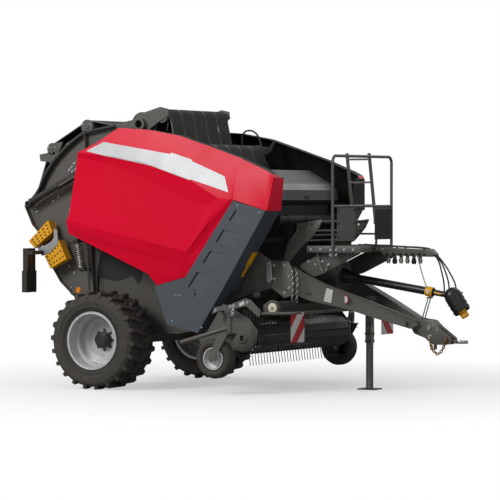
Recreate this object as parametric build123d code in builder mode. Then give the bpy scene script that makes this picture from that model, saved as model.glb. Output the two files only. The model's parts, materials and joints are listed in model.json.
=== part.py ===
from build123d import *
import os
from math import acos, atan2, cos, degrees, hypot, pi, radians, sin

# Variable-chamber round baler, parked on its jack.
# Frame: X forward to the hitch, Y to the left, Z up, millimetres.  The origin is on the
# ground under the middle of the baler's length and width.  Side profiles are drawn on
# planes whose origin lies under the axle, so that their numbers are "forward of the axle,
# above the ground".

os.makedirs("parts", exist_ok=True)

# ---------------------------------------------------------------- driving sizes
AXLE_X = -1228.0          # axle, behind the middle of the baler's length
AXLE_Z = 505.0            # axle above the ground
RUN_FIT = 0.05            # radial clearance of a shaft in its bore
SEAT = 0.3                # gap between a piece and its seat

# main wheels, 500 mm wide on 22.5 inch rims
TRACK = 2170.0            # between the tyres' middle planes
TYRE_R = AXLE_Z           # to the lugs' tips
TYRE_W = 500.0
LUG_H = 24.0
LUG_COUNT = 22            # each side of the tread
RIM_R = 286.0             # bead seat
RIM_LIP_R = 300.0
RIM_W = 420.0
DISC_IN = 250.0           # the dished disc, in from the rim's outer edge
HUB_R = 88.0
SPINDLE_R = 40.0
AXLE_TUBE = 120.0
AXLE_HALF = 745.0         # half length of the square axle tube

# gauge wheels, 16 x 6.50-8
GAUGE_X = 1497.0          # ahead of the axle
GAUGE_Y = 1343.0
GAUGE_Z = 367.0
GAUGE_R = 202.0
GAUGE_W = 160.0
GAUGE_RIM_R = 108.0
GAUGE_TRAIL = 158.0       # wheel behind its swivel pin
GAUGE_PIN_R = 14.0

# bale chamber
CHAMBER_HALF = 620.0      # inside of the side walls
WALL_T = 6.0
FLANGE = 60.0             # turned-out edge of the side walls
PIVOT = (196.0, 2747.0)   # tailgate hinge, forward of the axle and above the ground
PIVOT_R = 68.0
PIVOT_BORE_R = 41.0
PIVOT_HALF = CHAMBER_HALF + 85.0
BELT_W = 226.0
BELT_GAP = 18.0
BELT_COUNT = 5
BELT_T = 8.0

# body panels
PANEL_Y = CHAMBER_HALF + 465.0     # outermost face of the side panels
PANEL_T = 6.0
PANEL_DEPTH = 200.0
PANEL_LIP = 290.0         # depth of the turned-in front edge
FAIRING_DEPTH = 310.0     # depth of the fairings' front wall

# drawbar and hitch
ARM_W = 90.0              # width of a drawbar arm
RING_Z = 523.0
RING_X = 3585.0
RING_BORE_R = 25.5
RING_R = 63.0
RING_T = 32.0

# pickup, 2.25 m class
PICKUP_PIVOT = (930.0, 790.0)
REEL_X = 1640.0
REEL_Z = 560.0
REEL_R = 285.0            # to the tines' tips
REEL_HALF = 1010.0
REEL_SHAFT_R = 20.0
TINE_PITCH = 62.0
TINE_R = 3.0
BAND_R = 165.0
BAND_W = 46.0
BAND_T = 3.0

# jack
JACK_X = 2470.0
JACK_Y = 150.0
JACK_TUBE = 68.0
JACK_LEG = 58.0
JACK_T = (JACK_TUBE - JACK_LEG) / 2 - SEAT
JACK_LOW = 490.0
JACK_HIGH = 965.0

# platform and guard hoop
DECK_Z = 1490.0
DECK_T = 65.0
DECK_REAR = 2135.0
DECK_FRONT = (2744.0, 2600.0, 2500.0)      # front edge on the right, in the middle, on the left
RAIL_R = 15.0
HOOP_X = (2436.0, 2488.0) # foot of the hoop on the right and on the left
HOOP_Z = (1371.0, 1892.0, 2403.0)          # foot, middle rail, top
HOSE_REST_Z = 1010.0
RAIL_Y = CHAMBER_HALF - 20.0

# tailgate cylinders
CYL_Y = CHAMBER_HALF + 128.0
CYL_LOW = (-1150.0, 1915.0)    # rod eye, on the tailgate
CYL_HIGH = (-105.0, 2446.0)    # barrel eye, on the frame
CYL_R = 38.0
ROD_R = 22.0

# intermediate values
TRACK_HALF = TRACK / 2
BELT_PITCH = BELT_W + BELT_GAP
WALL_OUT = CHAMBER_HALF + WALL_T
GATE_IN = WALL_OUT + 6.0
GATE_OUT = GATE_IN + WALL_T


def side(y):
    """Plane of a side profile: X forward of the axle, Y up, normal to the right."""
    return Plane(origin=(AXLE_X, y, 0), x_dir=(1, 0, 0), z_dir=(0, -1, 0))


# ------------------------------------------------------------------ main wheels
TREAD_R = TYRE_R - LUG_H
SHOULDER = TYRE_W / 2 - 34
wheel_plane = Plane(origin=(AXLE_X, -TRACK_HALF, AXLE_Z), x_dir=(0, -1, 0), z_dir=(1, 0, 0))
wheel_axis = Axis((AXLE_X, 0, AXLE_Z), (0, 1, 0))

tyre_half = [(RIM_W / 2, RIM_R), (RIM_W / 2, RIM_LIP_R + 2), (TYRE_W / 2 - 12, RIM_LIP_R + 40), (TYRE_W / 2, 410),
             (TYRE_W / 2 - 8, 445), (SHOULDER, TREAD_R - 8)]
with BuildPart() as tyre:
    with BuildSketch(wheel_plane):
        Polygon(*tyre_half, *[(-u, r) for u, r in reversed(tyre_half)], align=None)
    revolve(axis=wheel_axis)

# one lug: a bar that leans back from the crown and wraps over the shoulder
lug_outline = [(20, 6), (-14, 6), (-58, 130), (-76, SHOULDER + 30), (-34, SHOULDER + 30), (-18, 130)]
lug_section = [(4, TREAD_R - 20), (4, TYRE_R), (SHOULDER, TYRE_R), (SHOULDER + 30, TYRE_R - 62),
               (SHOULDER - 20, TREAD_R - 30)]
with BuildPart() as lug_band:
    with BuildSketch(wheel_plane):
        Polygon(*lug_section, align=None)
    revolve(axis=wheel_axis)
with BuildPart() as lug:
    with BuildSketch(Plane(origin=(AXLE_X, -TRACK_HALF, AXLE_Z + TREAD_R - 90), x_dir=(1, 0, 0), z_dir=(0, 0, 1))):
        Polygon(*[(x, -y) for x, y in lug_outline], align=None)
    extrude(amount=LUG_H + 100)
    add(lug_band.part, mode=Mode.INTERSECT)
lug_far = mirror(lug.part, about=Plane.XZ.offset(TRACK_HALF))
lug_step = 360 / LUG_COUNT
lugs = [lug.part.rotate(wheel_axis, i * lug_step) for i in range(LUG_COUNT)]
lugs += [lug_far.rotate(wheel_axis, (i + 0.5) * lug_step) for i in range(LUG_COUNT)]
with BuildPart() as tyre_right:
    add(tyre.part)
    add(lugs)
tyre_right.part.label = "tyre_right"
export_step(tyre_right.part, "parts/tyre_right.step")
tyre_left = mirror(tyre_right.part, about=Plane.XZ)
tyre_left.label = "tyre_left"
export_step(tyre_left, "parts/tyre_left.step")

# deep dished rim: barrel with a drop centre, and a disc set far in from the outer lip
DISC_X = RIM_W / 2 - DISC_IN
with BuildPart() as rim_right:
    with BuildSketch(wheel_plane):
        with BuildLine():
            outer = [(-RIM_W / 2 - 6, RIM_LIP_R), (-RIM_W / 2 - 6, RIM_R - SEAT), (-70, RIM_R - SEAT),
                     (-50, RIM_R - 30), (60, RIM_R - 30), (84, RIM_R - SEAT), (RIM_W / 2 + 6, RIM_R - SEAT),
                     (RIM_W / 2 + 6, RIM_LIP_R)]
            Polyline(*outer, (RIM_W / 2 + 14, RIM_LIP_R), (RIM_W / 2 + 14, RIM_R - 10), (92, RIM_R - 10),
                     (66, RIM_R - 38), (DISC_X + 34, RIM_R - 38), (DISC_X + 34, 222), (DISC_X + 9, 186),
                     (DISC_X + 9, HUB_R - 20), (DISC_X, HUB_R - 20), (DISC_X, 190), (DISC_X + 26, 226),
                     (DISC_X + 26, RIM_R - 38), (-56, RIM_R - 38), (-78, RIM_R - 10), (-RIM_W / 2 - 14, RIM_R - 10),
                     (-RIM_W / 2 - 14, RIM_LIP_R), (-RIM_W / 2 - 6, RIM_LIP_R))
        make_face()
    revolve(axis=wheel_axis)
rim_right.part.label = "rim_right"
export_step(rim_right.part, "parts/rim_right.step")
rim_left = mirror(rim_right.part, about=Plane.XZ)
rim_left.label = "rim_left"
export_step(rim_left, "parts/rim_left.step")

HUB_BOLTS = 8
with BuildPart() as hub_right:
    with BuildSketch(wheel_plane):
        with BuildLine():
            Polyline((DISC_X - 150, SPINDLE_R + RUN_FIT), (DISC_X - 150, 70), (DISC_X - 40, 70),
                     (DISC_X - 40, 118), (DISC_X, 118), (DISC_X, HUB_R - 20), (DISC_X + 9, HUB_R - 20),
                     (DISC_X + 9, HUB_R), (DISC_X + 70, HUB_R - 6), (DISC_X + 92, 50), (DISC_X + 92, 0),
                     (DISC_X + 20, 0), (DISC_X + 20, SPINDLE_R + RUN_FIT), (DISC_X - 150, SPINDLE_R + RUN_FIT))
        make_face()
    revolve(axis=wheel_axis)
    with BuildSketch(Plane(origin=(AXLE_X, -TRACK_HALF - DISC_X - 9, AXLE_Z), x_dir=(1, 0, 0), z_dir=(0, -1, 0))):
        with PolarLocations(HUB_R + 17, HUB_BOLTS):
            RegularPolygon(13, 6)
    extrude(amount=14)
hub_right.part.label = "hub_right"
export_step(hub_right.part, "parts/hub_right.step")
hub_left = mirror(hub_right.part, about=Plane.XZ)
hub_left.label = "hub_left"
export_step(hub_left, "parts/hub_left.step")

with BuildPart() as axle:
    with BuildSketch(Plane(origin=(AXLE_X, -AXLE_HALF, AXLE_Z), x_dir=(1, 0, 0), z_dir=(0, 1, 0))):
        Rectangle(AXLE_TUBE, AXLE_TUBE)
    extrude(amount=2 * AXLE_HALF)
    for s in (-1, 1):
        with BuildSketch(Plane(origin=(AXLE_X, s * AXLE_HALF, AXLE_Z), x_dir=(1, 0, 0), z_dir=(0, s, 0))):
            Circle(SPINDLE_R)
        extrude(amount=TRACK_HALF + DISC_X - AXLE_HALF + 10)
axle.part.label = "axle"
export_step(axle.part, "parts/axle.step")

# ----------------------------------------------------------- bale chamber, front half
LID_REACH = 76.0          # lid pins, out from the walls
# the rear edge runs from the tailgate hinge down to the split at the bottom
wall_points = [(60, 2560), (-120, 2060), (-330, 1230), (-342, 860), (-120, AXLE_Z + AXLE_TUBE / 2),
               (640, AXLE_Z + AXLE_TUBE / 2), (1000, 640), (1180, 1010), (1330, 1600), (1330, 2040),
               (1230, 2130), (1165, 2150), (1100, 2150), (960, 2440), (800, 2500), (420, 2600), (300, 2680),
               (120, 2680)]
LID_HINGE = (1165.0, 2170.0)
LID_PIN_R = 12.0
FRONT_ROLLER = (880.0, 2452.0)
FRONT_ROLLER_R = 75.0
with BuildPart() as side_walls:
    with BuildSketch(side(-CHAMBER_HALF)):
        Polygon(*wall_points, align=None)
        with Locations(FRONT_ROLLER):
            Circle(FRONT_ROLLER_R + 14)
        with Locations(LID_HINGE):
            Circle(LID_PIN_R + 12)
        with Locations(PIVOT):
            Circle(PIVOT_R + 60)
            Circle(PIVOT_R + SEAT, mode=Mode.SUBTRACT)
    extrude(amount=WALL_T)
    with BuildSketch(side(-WALL_OUT)):
        with Locations(LID_HINGE):
            Circle(LID_PIN_R)
    extrude(amount=LID_REACH)
    mirror(about=Plane.XZ)
side_walls.part.label = "side_walls"
export_step(side_walls.part, "parts/side_walls.step")

# cross members that carry the front end: tubes through the walls' inside, seated between them
CROSS = [(1130, 1760, 30), (1180, 1660, 22), (1190, 1530, 30), (1060, 1000, 45), (500, 620, 40)]
with BuildPart() as cross_frame:
    for x, z, r in CROSS:
        with BuildSketch(side(CHAMBER_HALF)):
            with Locations((x, z)):
                Circle(r)
        extrude(amount=2 * CHAMBER_HALF)
cross_frame.part.label = "cross_frame"
export_step(cross_frame.part, "parts/cross_frame.step")

with BuildPart() as pivot_tube:
    with BuildSketch(side(PIVOT_HALF)):
        with Locations(PIVOT):
            Circle(PIVOT_R)
            Circle(PIVOT_BORE_R, mode=Mode.SUBTRACT)
    extrude(amount=2 * PIVOT_HALF)
pivot_tube.part.label = "pivot_tube"
export_step(pivot_tube.part, "parts/pivot_tube.step")

# belt tension arm: two plates on the hinge tube and the high roller between them
TOP_ROLLER = (445.0, 2828.0)
TOP_ROLLER_R = 68.0
arm_outline = [(150, 2845), (430, 2925), (520, 2905), (530, 2830), (400, 2760), (260, 2670), (140, 2670)]
with BuildPart() as tension_arm:
    with BuildSketch(side(-GATE_OUT - 6)):
        Polygon(*arm_outline, align=None)
        with Locations(PIVOT):
            Circle(PIVOT_R + SEAT, mode=Mode.SUBTRACT)
    extrude(amount=10)
    mirror(about=Plane.XZ)
    with BuildSketch(side(GATE_OUT + 6)):
        with Locations(TOP_ROLLER):
            Circle(TOP_ROLLER_R)
    extrude(amount=2 * GATE_OUT + 12)
tension_arm.part.label = "tension_arm"
export_step(tension_arm.part, "parts/tension_arm.step")

with BuildPart() as front_roller:
    with BuildSketch(side(CHAMBER_HALF - SEAT)):
        with Locations(FRONT_ROLLER):
            Circle(FRONT_ROLLER_R)
    extrude(amount=2 * (CHAMBER_HALF - SEAT))
front_roller.part.label = "front_roller"
export_step(front_roller.part, "parts/front_roller.step")

# belts: side profile strips, repeated across the chamber
belt_rows = [(i - (BELT_COUNT - 1) / 2) * BELT_PITCH for i in range(BELT_COUNT)]


def around(centre, radius, start, stop, steps=6):
    """Points on a roller from one angle to another, degrees, counter-clockwise seen from the right."""
    turn = radians(stop - start) / steps
    reach = radius / cos(turn / 2)
    return [(centre[0] + reach * cos(radians(start) + turn * i),
             centre[1] + reach * sin(radians(start) + turn * i)) for i in range(steps + 1)]


def belt_face(stops):
    """Side profile of a belt over rollers: stops are (x, z, radius), radius 0 at its two ends."""
    normals = []
    for (x1, z1, r1), (x2, z2, r2) in zip(stops, stops[1:]):
        run = hypot(x2 - x1, z2 - z1)
        normals.append(atan2(z2 - z1, x2 - x1) + acos((r1 - r2) / run))
    for i in range(1, len(normals)):
        normals[i] = normals[i - 1] + (normals[i] - normals[i - 1] + pi) % (2 * pi) - pi
    with BuildSketch() as strip:
        with BuildLine():
            ends = []
            for gap in (SEAT, SEAT + BELT_T):
                last = None
                for (x, z, r), before, after in zip(stops, normals[:1] + normals, normals + normals[-1:]):
                    on = [(x + (r + gap) * cos(a), z + (r + gap) * sin(a))
                          for a in (before, (before + after) / 2, after)]
                    if last:
                        Line(last, on[0])
                    else:
                        ends.append(on[0])
                    if r:
                        ThreePointArc(*on)
                    last = on[2]
                ends.append(last)
            Line(ends[0], ends[2])
            Line(ends[1], ends[3])
        make_face()
    return strip.sketch


top_run = [(330, 2650, 0), (*TOP_ROLLER, TOP_ROLLER_R), (600, 2440, 0)]
front_run = [(700, 2400, 0), (*FRONT_ROLLER, FRONT_ROLLER_R), (1120, 1850, 0)]
with BuildPart() as front_belts:
    for y in belt_rows:
        with BuildSketch(side(y + BELT_W / 2)):
            add(belt_face(top_run))
            add(belt_face(front_run))
        extrude(amount=BELT_W)
front_belts.part.label = "front_belts"
export_step(front_belts.part, "parts/front_belts.step")

# ------------------------------------------------------------------------- tailgate
gate_outline = [(120, 2800), (-476, 2690), (-651, 2578), (-860, 2400), (-1000, 2216), (-1070, 2054),
                (-1234, 1891), (-1135, 1688), (-1031, 1583), (-970, 1370), (-780, 1085), (-592, 918),
                (-470, 860), (-356, 852), (-344, 1230), (-135, 2060), (60, 2640)]
GATE_ROLLERS = [(-476, 2729, 62), (-915, 2496, 50), (-1130, 1891, 45), (-640, 1010, 55)]   # x, z, radius
with BuildPart() as tailgate_sides:
    with BuildSketch(side(-GATE_IN)):
        Polygon(*gate_outline, align=None)
        Polygon((-780, 2570), (-925, 2559), (-975, 2470), (-900, 2350), align=None)
        for x, z, r in GATE_ROLLERS:
            with Locations((x, z)):
                Circle(r + 14)
        with Locations(PIVOT):
            Circle(PIVOT_R + 34)
            Circle(PIVOT_R + RUN_FIT, mode=Mode.SUBTRACT)
    extrude(amount=WALL_T)
    # flange along the rear, closed by an upright rib
    with BuildSketch(side(-GATE_OUT)):
        Polygon(*gate_outline[1:14], align=None)
        offset(amount=-8, mode=Mode.SUBTRACT)
    extrude(amount=FLANGE)
    mirror(about=Plane.XZ)
tailgate_sides.part.label = "tailgate_sides"
export_step(tailgate_sides.part, "parts/tailgate_sides.step")

with BuildPart() as tailgate_rollers:
    for x, z, r in GATE_ROLLERS:
        with BuildSketch(side(GATE_IN)):
            with Locations((x, z)):
                Circle(r)
        extrude(amount=2 * GATE_IN)
tailgate_rollers.part.label = "tailgate_rollers"
export_step(tailgate_rollers.part, "parts/tailgate_rollers.step")

gate_run = [(-560, 957, 0), *reversed(GATE_ROLLERS), (60, 2700, 0)]
with BuildPart() as tailgate_belts:
    for y in belt_rows:
        with BuildSketch(side(y + BELT_W / 2)):
            add(belt_face(gate_run))
        extrude(amount=BELT_W)
tailgate_belts.part.label = "tailgate_belts"
export_step(tailgate_belts.part, "parts/tailgate_belts.step")

# ---------------------------------------------------------------------- side panels
DISH = 22.0               # the panel's face lies this far inside its shoulder ridge
SHOULDER_LEAN = 0.22
PANEL_HINGE = ((180.0, 2660.0), (1880.0, 2305.0))
PANEL_HINGE_Y = CHAMBER_HALF + 180.0
STRAP_HALF = 15.0
STRAP_R = 16.0
HINGE_PIN_R = 8.0
# straps: forward of the axle, height of the panel's top wall above the pin
STRAPS = [(350, 57), (940, 84)]
panel_outline = [(-465, 1606), (-465, 1736), (-434, 1799), (-318, 2445), (-95, 2549), (146, 2702), (510, 2677),
                 (875, 2612), (1269, 2485), (1575, 2381), (1880, 2255), (1955, 2215), (1975, 2180), (1939, 1846),
                 (1546, 1957), (982, 1177), (613, 1079), (505, 1195)]
ridge = [(-700, 2490), (-318, 2450), (86, 2411), (569, 2315), (1044, 2160), (1373, 1976), (1546, 1957), (2100, 1810)]
dish_rim = ridge[:6] + [(1040, 1380), (1040, 900), (-700, 900)]
dish_floor = [(-700, 2440), (-318, 2400), (86, 2330), (569, 2150), (1000, 1960), (1230, 1900), (985, 1426), (985, 900),
              (-700, 900)]
hinge_slope = atan2(PANEL_HINGE[1][1] - PANEL_HINGE[0][1], PANEL_HINGE[1][0] - PANEL_HINGE[0][0])


def facet_cutter(outer, inner, depth):
    """Ruled block from an outline on the panel's outermost plane to a second one further in."""
    with BuildPart() as cutter:
        with BuildSketch(side(-PANEL_Y)):
            Polygon(*outer, align=None)
        with BuildSketch(side(-PANEL_Y + depth)):
            Polygon(*inner, align=None)
        loft(ruled=True)
    return cutter.part


def edge_cutter(p, q, depth_p, depth_q, drop, reach):
    """Cuts along the edge p-q of the face: a slope that falls by drop over reach, then a level strip."""
    start = Vector(AXLE_X + p[0], -PANEL_Y + depth_p, p[1])
    end = Vector(AXLE_X + q[0], -PANEL_Y + depth_q, q[1])
    with BuildPart() as cutter:
        with BuildSketch(Plane(origin=start, x_dir=(0, -1, 0), z_dir=end - start)):
            Polygon((0, 0), (-drop, reach), (-drop, 900), (200, 900), (200, 0), align=None)
        extrude(amount=(end - start).length)
    return cutter.part


RISE = 150 / SHOULDER_LEAN
shoulder_low = ridge + [(2100, 3200), (-700, 3200)]
shoulder_high = [(x, z + RISE) for x, z in ridge] + [(2100, 3200 + RISE), (-700, 3200 + RISE)]
panel_cutters = [
    facet_cutter(shoulder_low, shoulder_high, 150),
    facet_cutter(dish_rim, dish_floor, DISH),
    edge_cutter((-700, 1789), (1500, 1315), DISH, DISH, 40, 150),
    edge_cutter((800, 1223), (1500, 1992), 34, -12, 26, 60),
]


def panel_form(inset):
    """The panel's solid form, or its inside for an inset of the wall's thickness."""
    with BuildPart() as form:
        with BuildSketch(side(-PANEL_Y + PANEL_DEPTH + (1 if inset else 0))):
            Polygon(*panel_outline, align=None)
            if inset:
                offset(amount=-inset, kind=Kind.INTERSECTION)
        extrude(amount=PANEL_DEPTH - inset + (1 if inset else 0))
        add([cutter.moved(Location((0, inset, 0))) for cutter in panel_cutters], mode=Mode.SUBTRACT)
    return form.part


def hinge_plane(x):
    """Across the panel's hinge line at x: local x outwards to the right, y down."""
    z = PANEL_HINGE[0][1] + (x - PANEL_HINGE[0][0]) * sin(hinge_slope) / cos(hinge_slope)
    return Plane(origin=(AXLE_X + x, -PANEL_HINGE_Y, z), x_dir=(0, -1, 0), z_dir=(cos(hinge_slope), 0, sin(hinge_slope)))


with BuildPart() as panel_right:
    add(panel_form(0))
    add(panel_form(PANEL_T), mode=Mode.SUBTRACT)
    with BuildSketch(side(-PANEL_Y + PANEL_LIP)):
        Polygon((1975, 2180), (1939, 1846), (1939 - PANEL_T, 1848), (1975 - PANEL_T, 2183), align=None)
    extrude(amount=PANEL_LIP - PANEL_DEPTH + 1)
    for x, top in STRAPS:
        with BuildSketch(hinge_plane(x).offset(-STRAP_HALF)):
            Polygon((0, STRAP_R), (0, -STRAP_R), (70, -top - 3), (150, -top - 3), (150, 6 - top), (95, 12 - top),
                    (40, STRAP_R), align=None)
            Circle(STRAP_R)
            Circle(HINGE_PIN_R + RUN_FIT, mode=Mode.SUBTRACT)
        extrude(amount=2 * STRAP_HALF)
panel_right.part.label = "panel_right"
export_step(panel_right.part, "parts/panel_right.step")
panel_left = mirror(panel_right.part, about=Plane.XZ)
panel_left.label = "panel_left"
export_step(panel_left, "parts/panel_left.step")

# the panels' hinge brackets: a pair of plates with a pin at each strap
BRACKET_T = 8.0
with BuildPart() as panel_brackets:
    for x, _ in STRAPS:
        for start in (STRAP_HALF + 1, -STRAP_HALF - 1 - BRACKET_T):
            with BuildSketch(hinge_plane(x).offset(start)):
                Polygon((WALL_OUT - PANEL_HINGE_Y, 60), (WALL_OUT - PANEL_HINGE_Y, -20), (0, -STRAP_R),
                        (STRAP_R, 0), (0, STRAP_R), (-120, 60), align=None)
            extrude(amount=BRACKET_T)
        with BuildSketch(hinge_plane(x).offset(-STRAP_HALF - 1 - BRACKET_T)):
            Circle(HINGE_PIN_R)
        extrude(amount=2 * (STRAP_HALF + 1 + BRACKET_T))
    mirror(about=Plane.XZ)
panel_brackets.part.label = "panel_brackets"
export_step(panel_brackets.part, "parts/panel_brackets.step")

# fairings in front of the wheels: one skin with a deep front wall and a hollow crossed by three rounded steps
fairing_outline = [(1544, 1949), (1919, 1851), (1909, 1829), (1416, 1035), (1131, 602), (768, 685), (621, 1073),
                   (984, 1165)]
FAIRING_WALL_LOW = 1035.0 # the deep front wall ends at this height
HOLLOW = ((996, 1042), (1578, 1862))      # the hollow's rear edge
HOLLOW_W = 190.0
HOLLOW_DEPTH = 16.0
STEP_PITCH = (-151.0, -216.0)
step_outline = [(1405, 1660), (1445, 1656), (1622, 1609), (1683, 1669), (1661, 1693), (1489, 1750), (1449, 1754)]
with BuildPart() as hollow:
    along = Vector(HOLLOW[1][0] - HOLLOW[0][0], 0, HOLLOW[1][1] - HOLLOW[0][1])
    with BuildSketch(Plane(origin=(AXLE_X + HOLLOW[0][0], -PANEL_Y, HOLLOW[0][1]), x_dir=(0, -1, 0), z_dir=along)):
        Polygon((0.5, 0), (-HOLLOW_DEPTH, 0), (0, HOLLOW_W), (0.5, HOLLOW_W), align=None)
    extrude(amount=along.length)
    for i in range(3):
        with BuildSketch(side(-PANEL_Y + HOLLOW_DEPTH + 2)):
            Polygon(*[(x + i * STEP_PITCH[0], z + i * STEP_PITCH[1]) for x, z in step_outline], align=None)
        extrude(amount=HOLLOW_DEPTH + 3, mode=Mode.SUBTRACT)
with BuildPart() as fairings:
    with BuildSketch(side(-PANEL_Y + PANEL_DEPTH)):
        Polygon(*fairing_outline, align=None)
    extrude(amount=PANEL_DEPTH)
    with BuildSketch(side(-PANEL_Y + PANEL_DEPTH + 1)):
        Polygon(*fairing_outline, align=None)
        offset(amount=-PANEL_T, kind=Kind.INTERSECTION)
    extrude(amount=PANEL_DEPTH - PANEL_T + 1 - HOLLOW_DEPTH, mode=Mode.SUBTRACT)
    add(hollow.part, mode=Mode.SUBTRACT)
    with BuildSketch(side(-PANEL_Y + HOLLOW_DEPTH + PANEL_T)):
        Polygon(*fairing_outline, align=None)
        offset(amount=-PANEL_T, kind=Kind.INTERSECTION)
        Polygon(HOLLOW[0], HOLLOW[1], (HOLLOW[1][0] + 210, HOLLOW[1][1] - 60), (HOLLOW[0][0] + 240, HOLLOW[0][1] - 80), align=None, mode=Mode.SUBTRACT)
    extrude(amount=HOLLOW_DEPTH, mode=Mode.SUBTRACT)
    with BuildSketch(side(-PANEL_Y + FAIRING_DEPTH)):
        Polygon((1919, 1851), (1909, 1829), (1416, FAIRING_WALL_LOW), (1416 - PANEL_T, FAIRING_WALL_LOW), (1903, 1832), (1912, 1853), align=None)
    extrude(amount=FAIRING_DEPTH - PANEL_DEPTH + 1)
    for x, z, skin in ((850, 1010, PANEL_T), (1450, 1560, PANEL_T + HOLLOW_DEPTH - 2)):
        with BuildSketch(side(-WALL_OUT)):
            with Locations((x, z)):
                Rectangle(60, 40)
        extrude(amount=PANEL_Y - skin + 1 - WALL_OUT)
    mirror(about=Plane.XZ)
fairings.part.label = "fairings"
export_step(fairings.part, "parts/fairings.step")

# ------------------------------------------------------------------ drawbar and hitch
TIP_X = 3140.0
TIP_Y = 70.0
ROOT_X = 1846.0
ROOT_Y = WALL_OUT - 26
CROSS_X = 1800.0          # box across the drawbar's root
CROSS_Z = (1115.0, 1265.0)
CROSS_W = 110.0
CHEEK_T = 10.0
HEAD_HALF = 60.0
arm_outline = [(ROOT_X, 1334), (2268, 1099), (2675, 935), (3109, 745), (TIP_X, 690), (3060, 650), (2682, 771),
               (2472, 846), (2099, 934), (ROOT_X, 1050)]
RING_TAIL = 3455.0
head_core = [(3020, 700), (3162, 747), (RING_TAIL - SEAT, 561), (RING_TAIL - SEAT, 507), (3342, 507), (3080, 600)]
head_plate = [(3090, 742), (3160, 752), (3276, 739), (3354, 668), (3500, 560), (3500, 507), (3440, 492),
              (3302, 492), (3237, 533), (3120, 640)]
spread = atan2(ROOT_Y - TIP_Y, TIP_X - ROOT_X)
arm_plane = Plane(origin=(AXLE_X + TIP_X, -TIP_Y, 0), x_dir=(cos(spread), sin(spread), 0),
                  z_dir=(sin(spread), -cos(spread), 0))
arm_points = [((x - TIP_X) / cos(spread), z) for x, z in arm_outline]
with BuildPart() as drawbar:
    # box section arms with a raised strip along both edges
    with BuildSketch(arm_plane):
        Polygon(*arm_points, align=None)
    extrude(amount=ARM_W / 2 - 4, both=True)
    with BuildSketch(arm_plane):
        Polygon(*arm_points, align=None)
        offset(amount=-12, kind=Kind.INTERSECTION, mode=Mode.SUBTRACT)
    extrude(amount=ARM_W / 2, both=True)
    # root: gusset against the cross box, with an upright flange
    with BuildSketch(side(-ROOT_Y - 26)):
        Polygon((CROSS_X - CROSS_W / 2, 1340), (1940, 1330), (1985, 1245), (1985, 985), (1900, 960),
                (CROSS_X - CROSS_W / 2, 1060), align=None)
    extrude(amount=14)
    with BuildSketch(Plane(origin=(AXLE_X + 1985, -ROOT_Y - 40, 985), x_dir=(1, 0, 0), z_dir=(0, 0, 1))):
        Rectangle(10, 60, align=(Align.MIN, Align.MIN))
    extrude(amount=240)
    # hitch plates each side of the head
    with BuildSketch(side(-HEAD_HALF)):
        Polygon(*head_plate, align=None)
    extrude(amount=14)
    mirror(about=Plane.XZ)
    with BuildSketch(side(HEAD_HALF)):
        Polygon(*head_core, align=None)
    extrude(amount=2 * HEAD_HALF)
    with BuildSketch(side(ROOT_Y + 40)):
        with Locations((CROSS_X, sum(CROSS_Z) / 2)):
            Rectangle(CROSS_W, CROSS_Z[1] - CROSS_Z[0])
    extrude(amount=2 * (ROOT_Y + 40))
    # stub of the lower hitch bolt, and the plate that ties the arms behind the head
    with BuildSketch(Plane(origin=(AXLE_X + 3290, 0, 440))):
        Rectangle(26, 26)
    extrude(amount=100)
    with BuildSketch(Plane(origin=(AXLE_X, 0, 742))):
        Polygon((2960, -120), (2960, 120), (3110, 66), (3110, -66), align=None)
    extrude(amount=10)
drawbar.part.label = "drawbar"
export_step(drawbar.part, "parts/drawbar.step")

with BuildPart() as tow_ring:
    with BuildSketch(Plane(origin=(AXLE_X, 0, RING_Z - RING_T / 2))):
        with Locations((RING_X, 0)):
            Circle(RING_R)
        with Locations(((RING_TAIL + RING_X) / 2, 0)):
            Rectangle(RING_X - RING_TAIL, 80)
        with Locations((RING_X, 0)):
            Circle(RING_BORE_R, mode=Mode.SUBTRACT)
    extrude(amount=RING_T)
tow_ring.part.label = "tow_ring"
export_step(tow_ring.part, "parts/tow_ring.step")

# front frame: plates on the chamber walls that carry the drawbar, and the net roll's cheeks with their tubes
CHEEK_Y = ROOT_Y - 80
cheek = [(CROSS_X, CROSS_Z[1]), (CROSS_X + CROSS_W / 2, CROSS_Z[1]), (1960, 1400), (2066, 1512), (2106, 1529),
         (2231, 1664), (2274, 1752), (2258, 1757), (1980, 1715), (1977, 1645), (1880, 1525)]
CHEEK_TUBES = [(2242, 1735, 12), (2184, 1640, 12), (2140, 1596, 10), (2080, 1540, 10)]    # x, z, radius
with BuildPart() as front_frame:
    with BuildSketch(side(-WALL_OUT)):
        Polygon((1060, 1000), (1320, 1600), (CROSS_X - CROSS_W / 2, 1330), (CROSS_X - CROSS_W / 2, 1060),
                (1200, 900), align=None)
    extrude(amount=CHEEK_T)
    with BuildSketch(side(-CHEEK_Y)):
        Polygon(*cheek, align=None)
        with Locations((1975, 1600), (2010, 1660), (2150, 1700)):
            Circle(9, mode=Mode.SUBTRACT)
    extrude(amount=CHEEK_T)
    mirror(about=Plane.XZ)
    for x, z, r in CHEEK_TUBES:
        with BuildSketch(side(CHEEK_Y)):
            with Locations((x, z)):
                Circle(r)
        extrude(amount=2 * CHEEK_Y)
front_frame.part.label = "front_frame"
export_step(front_frame.part, "parts/front_frame.step")

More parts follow.
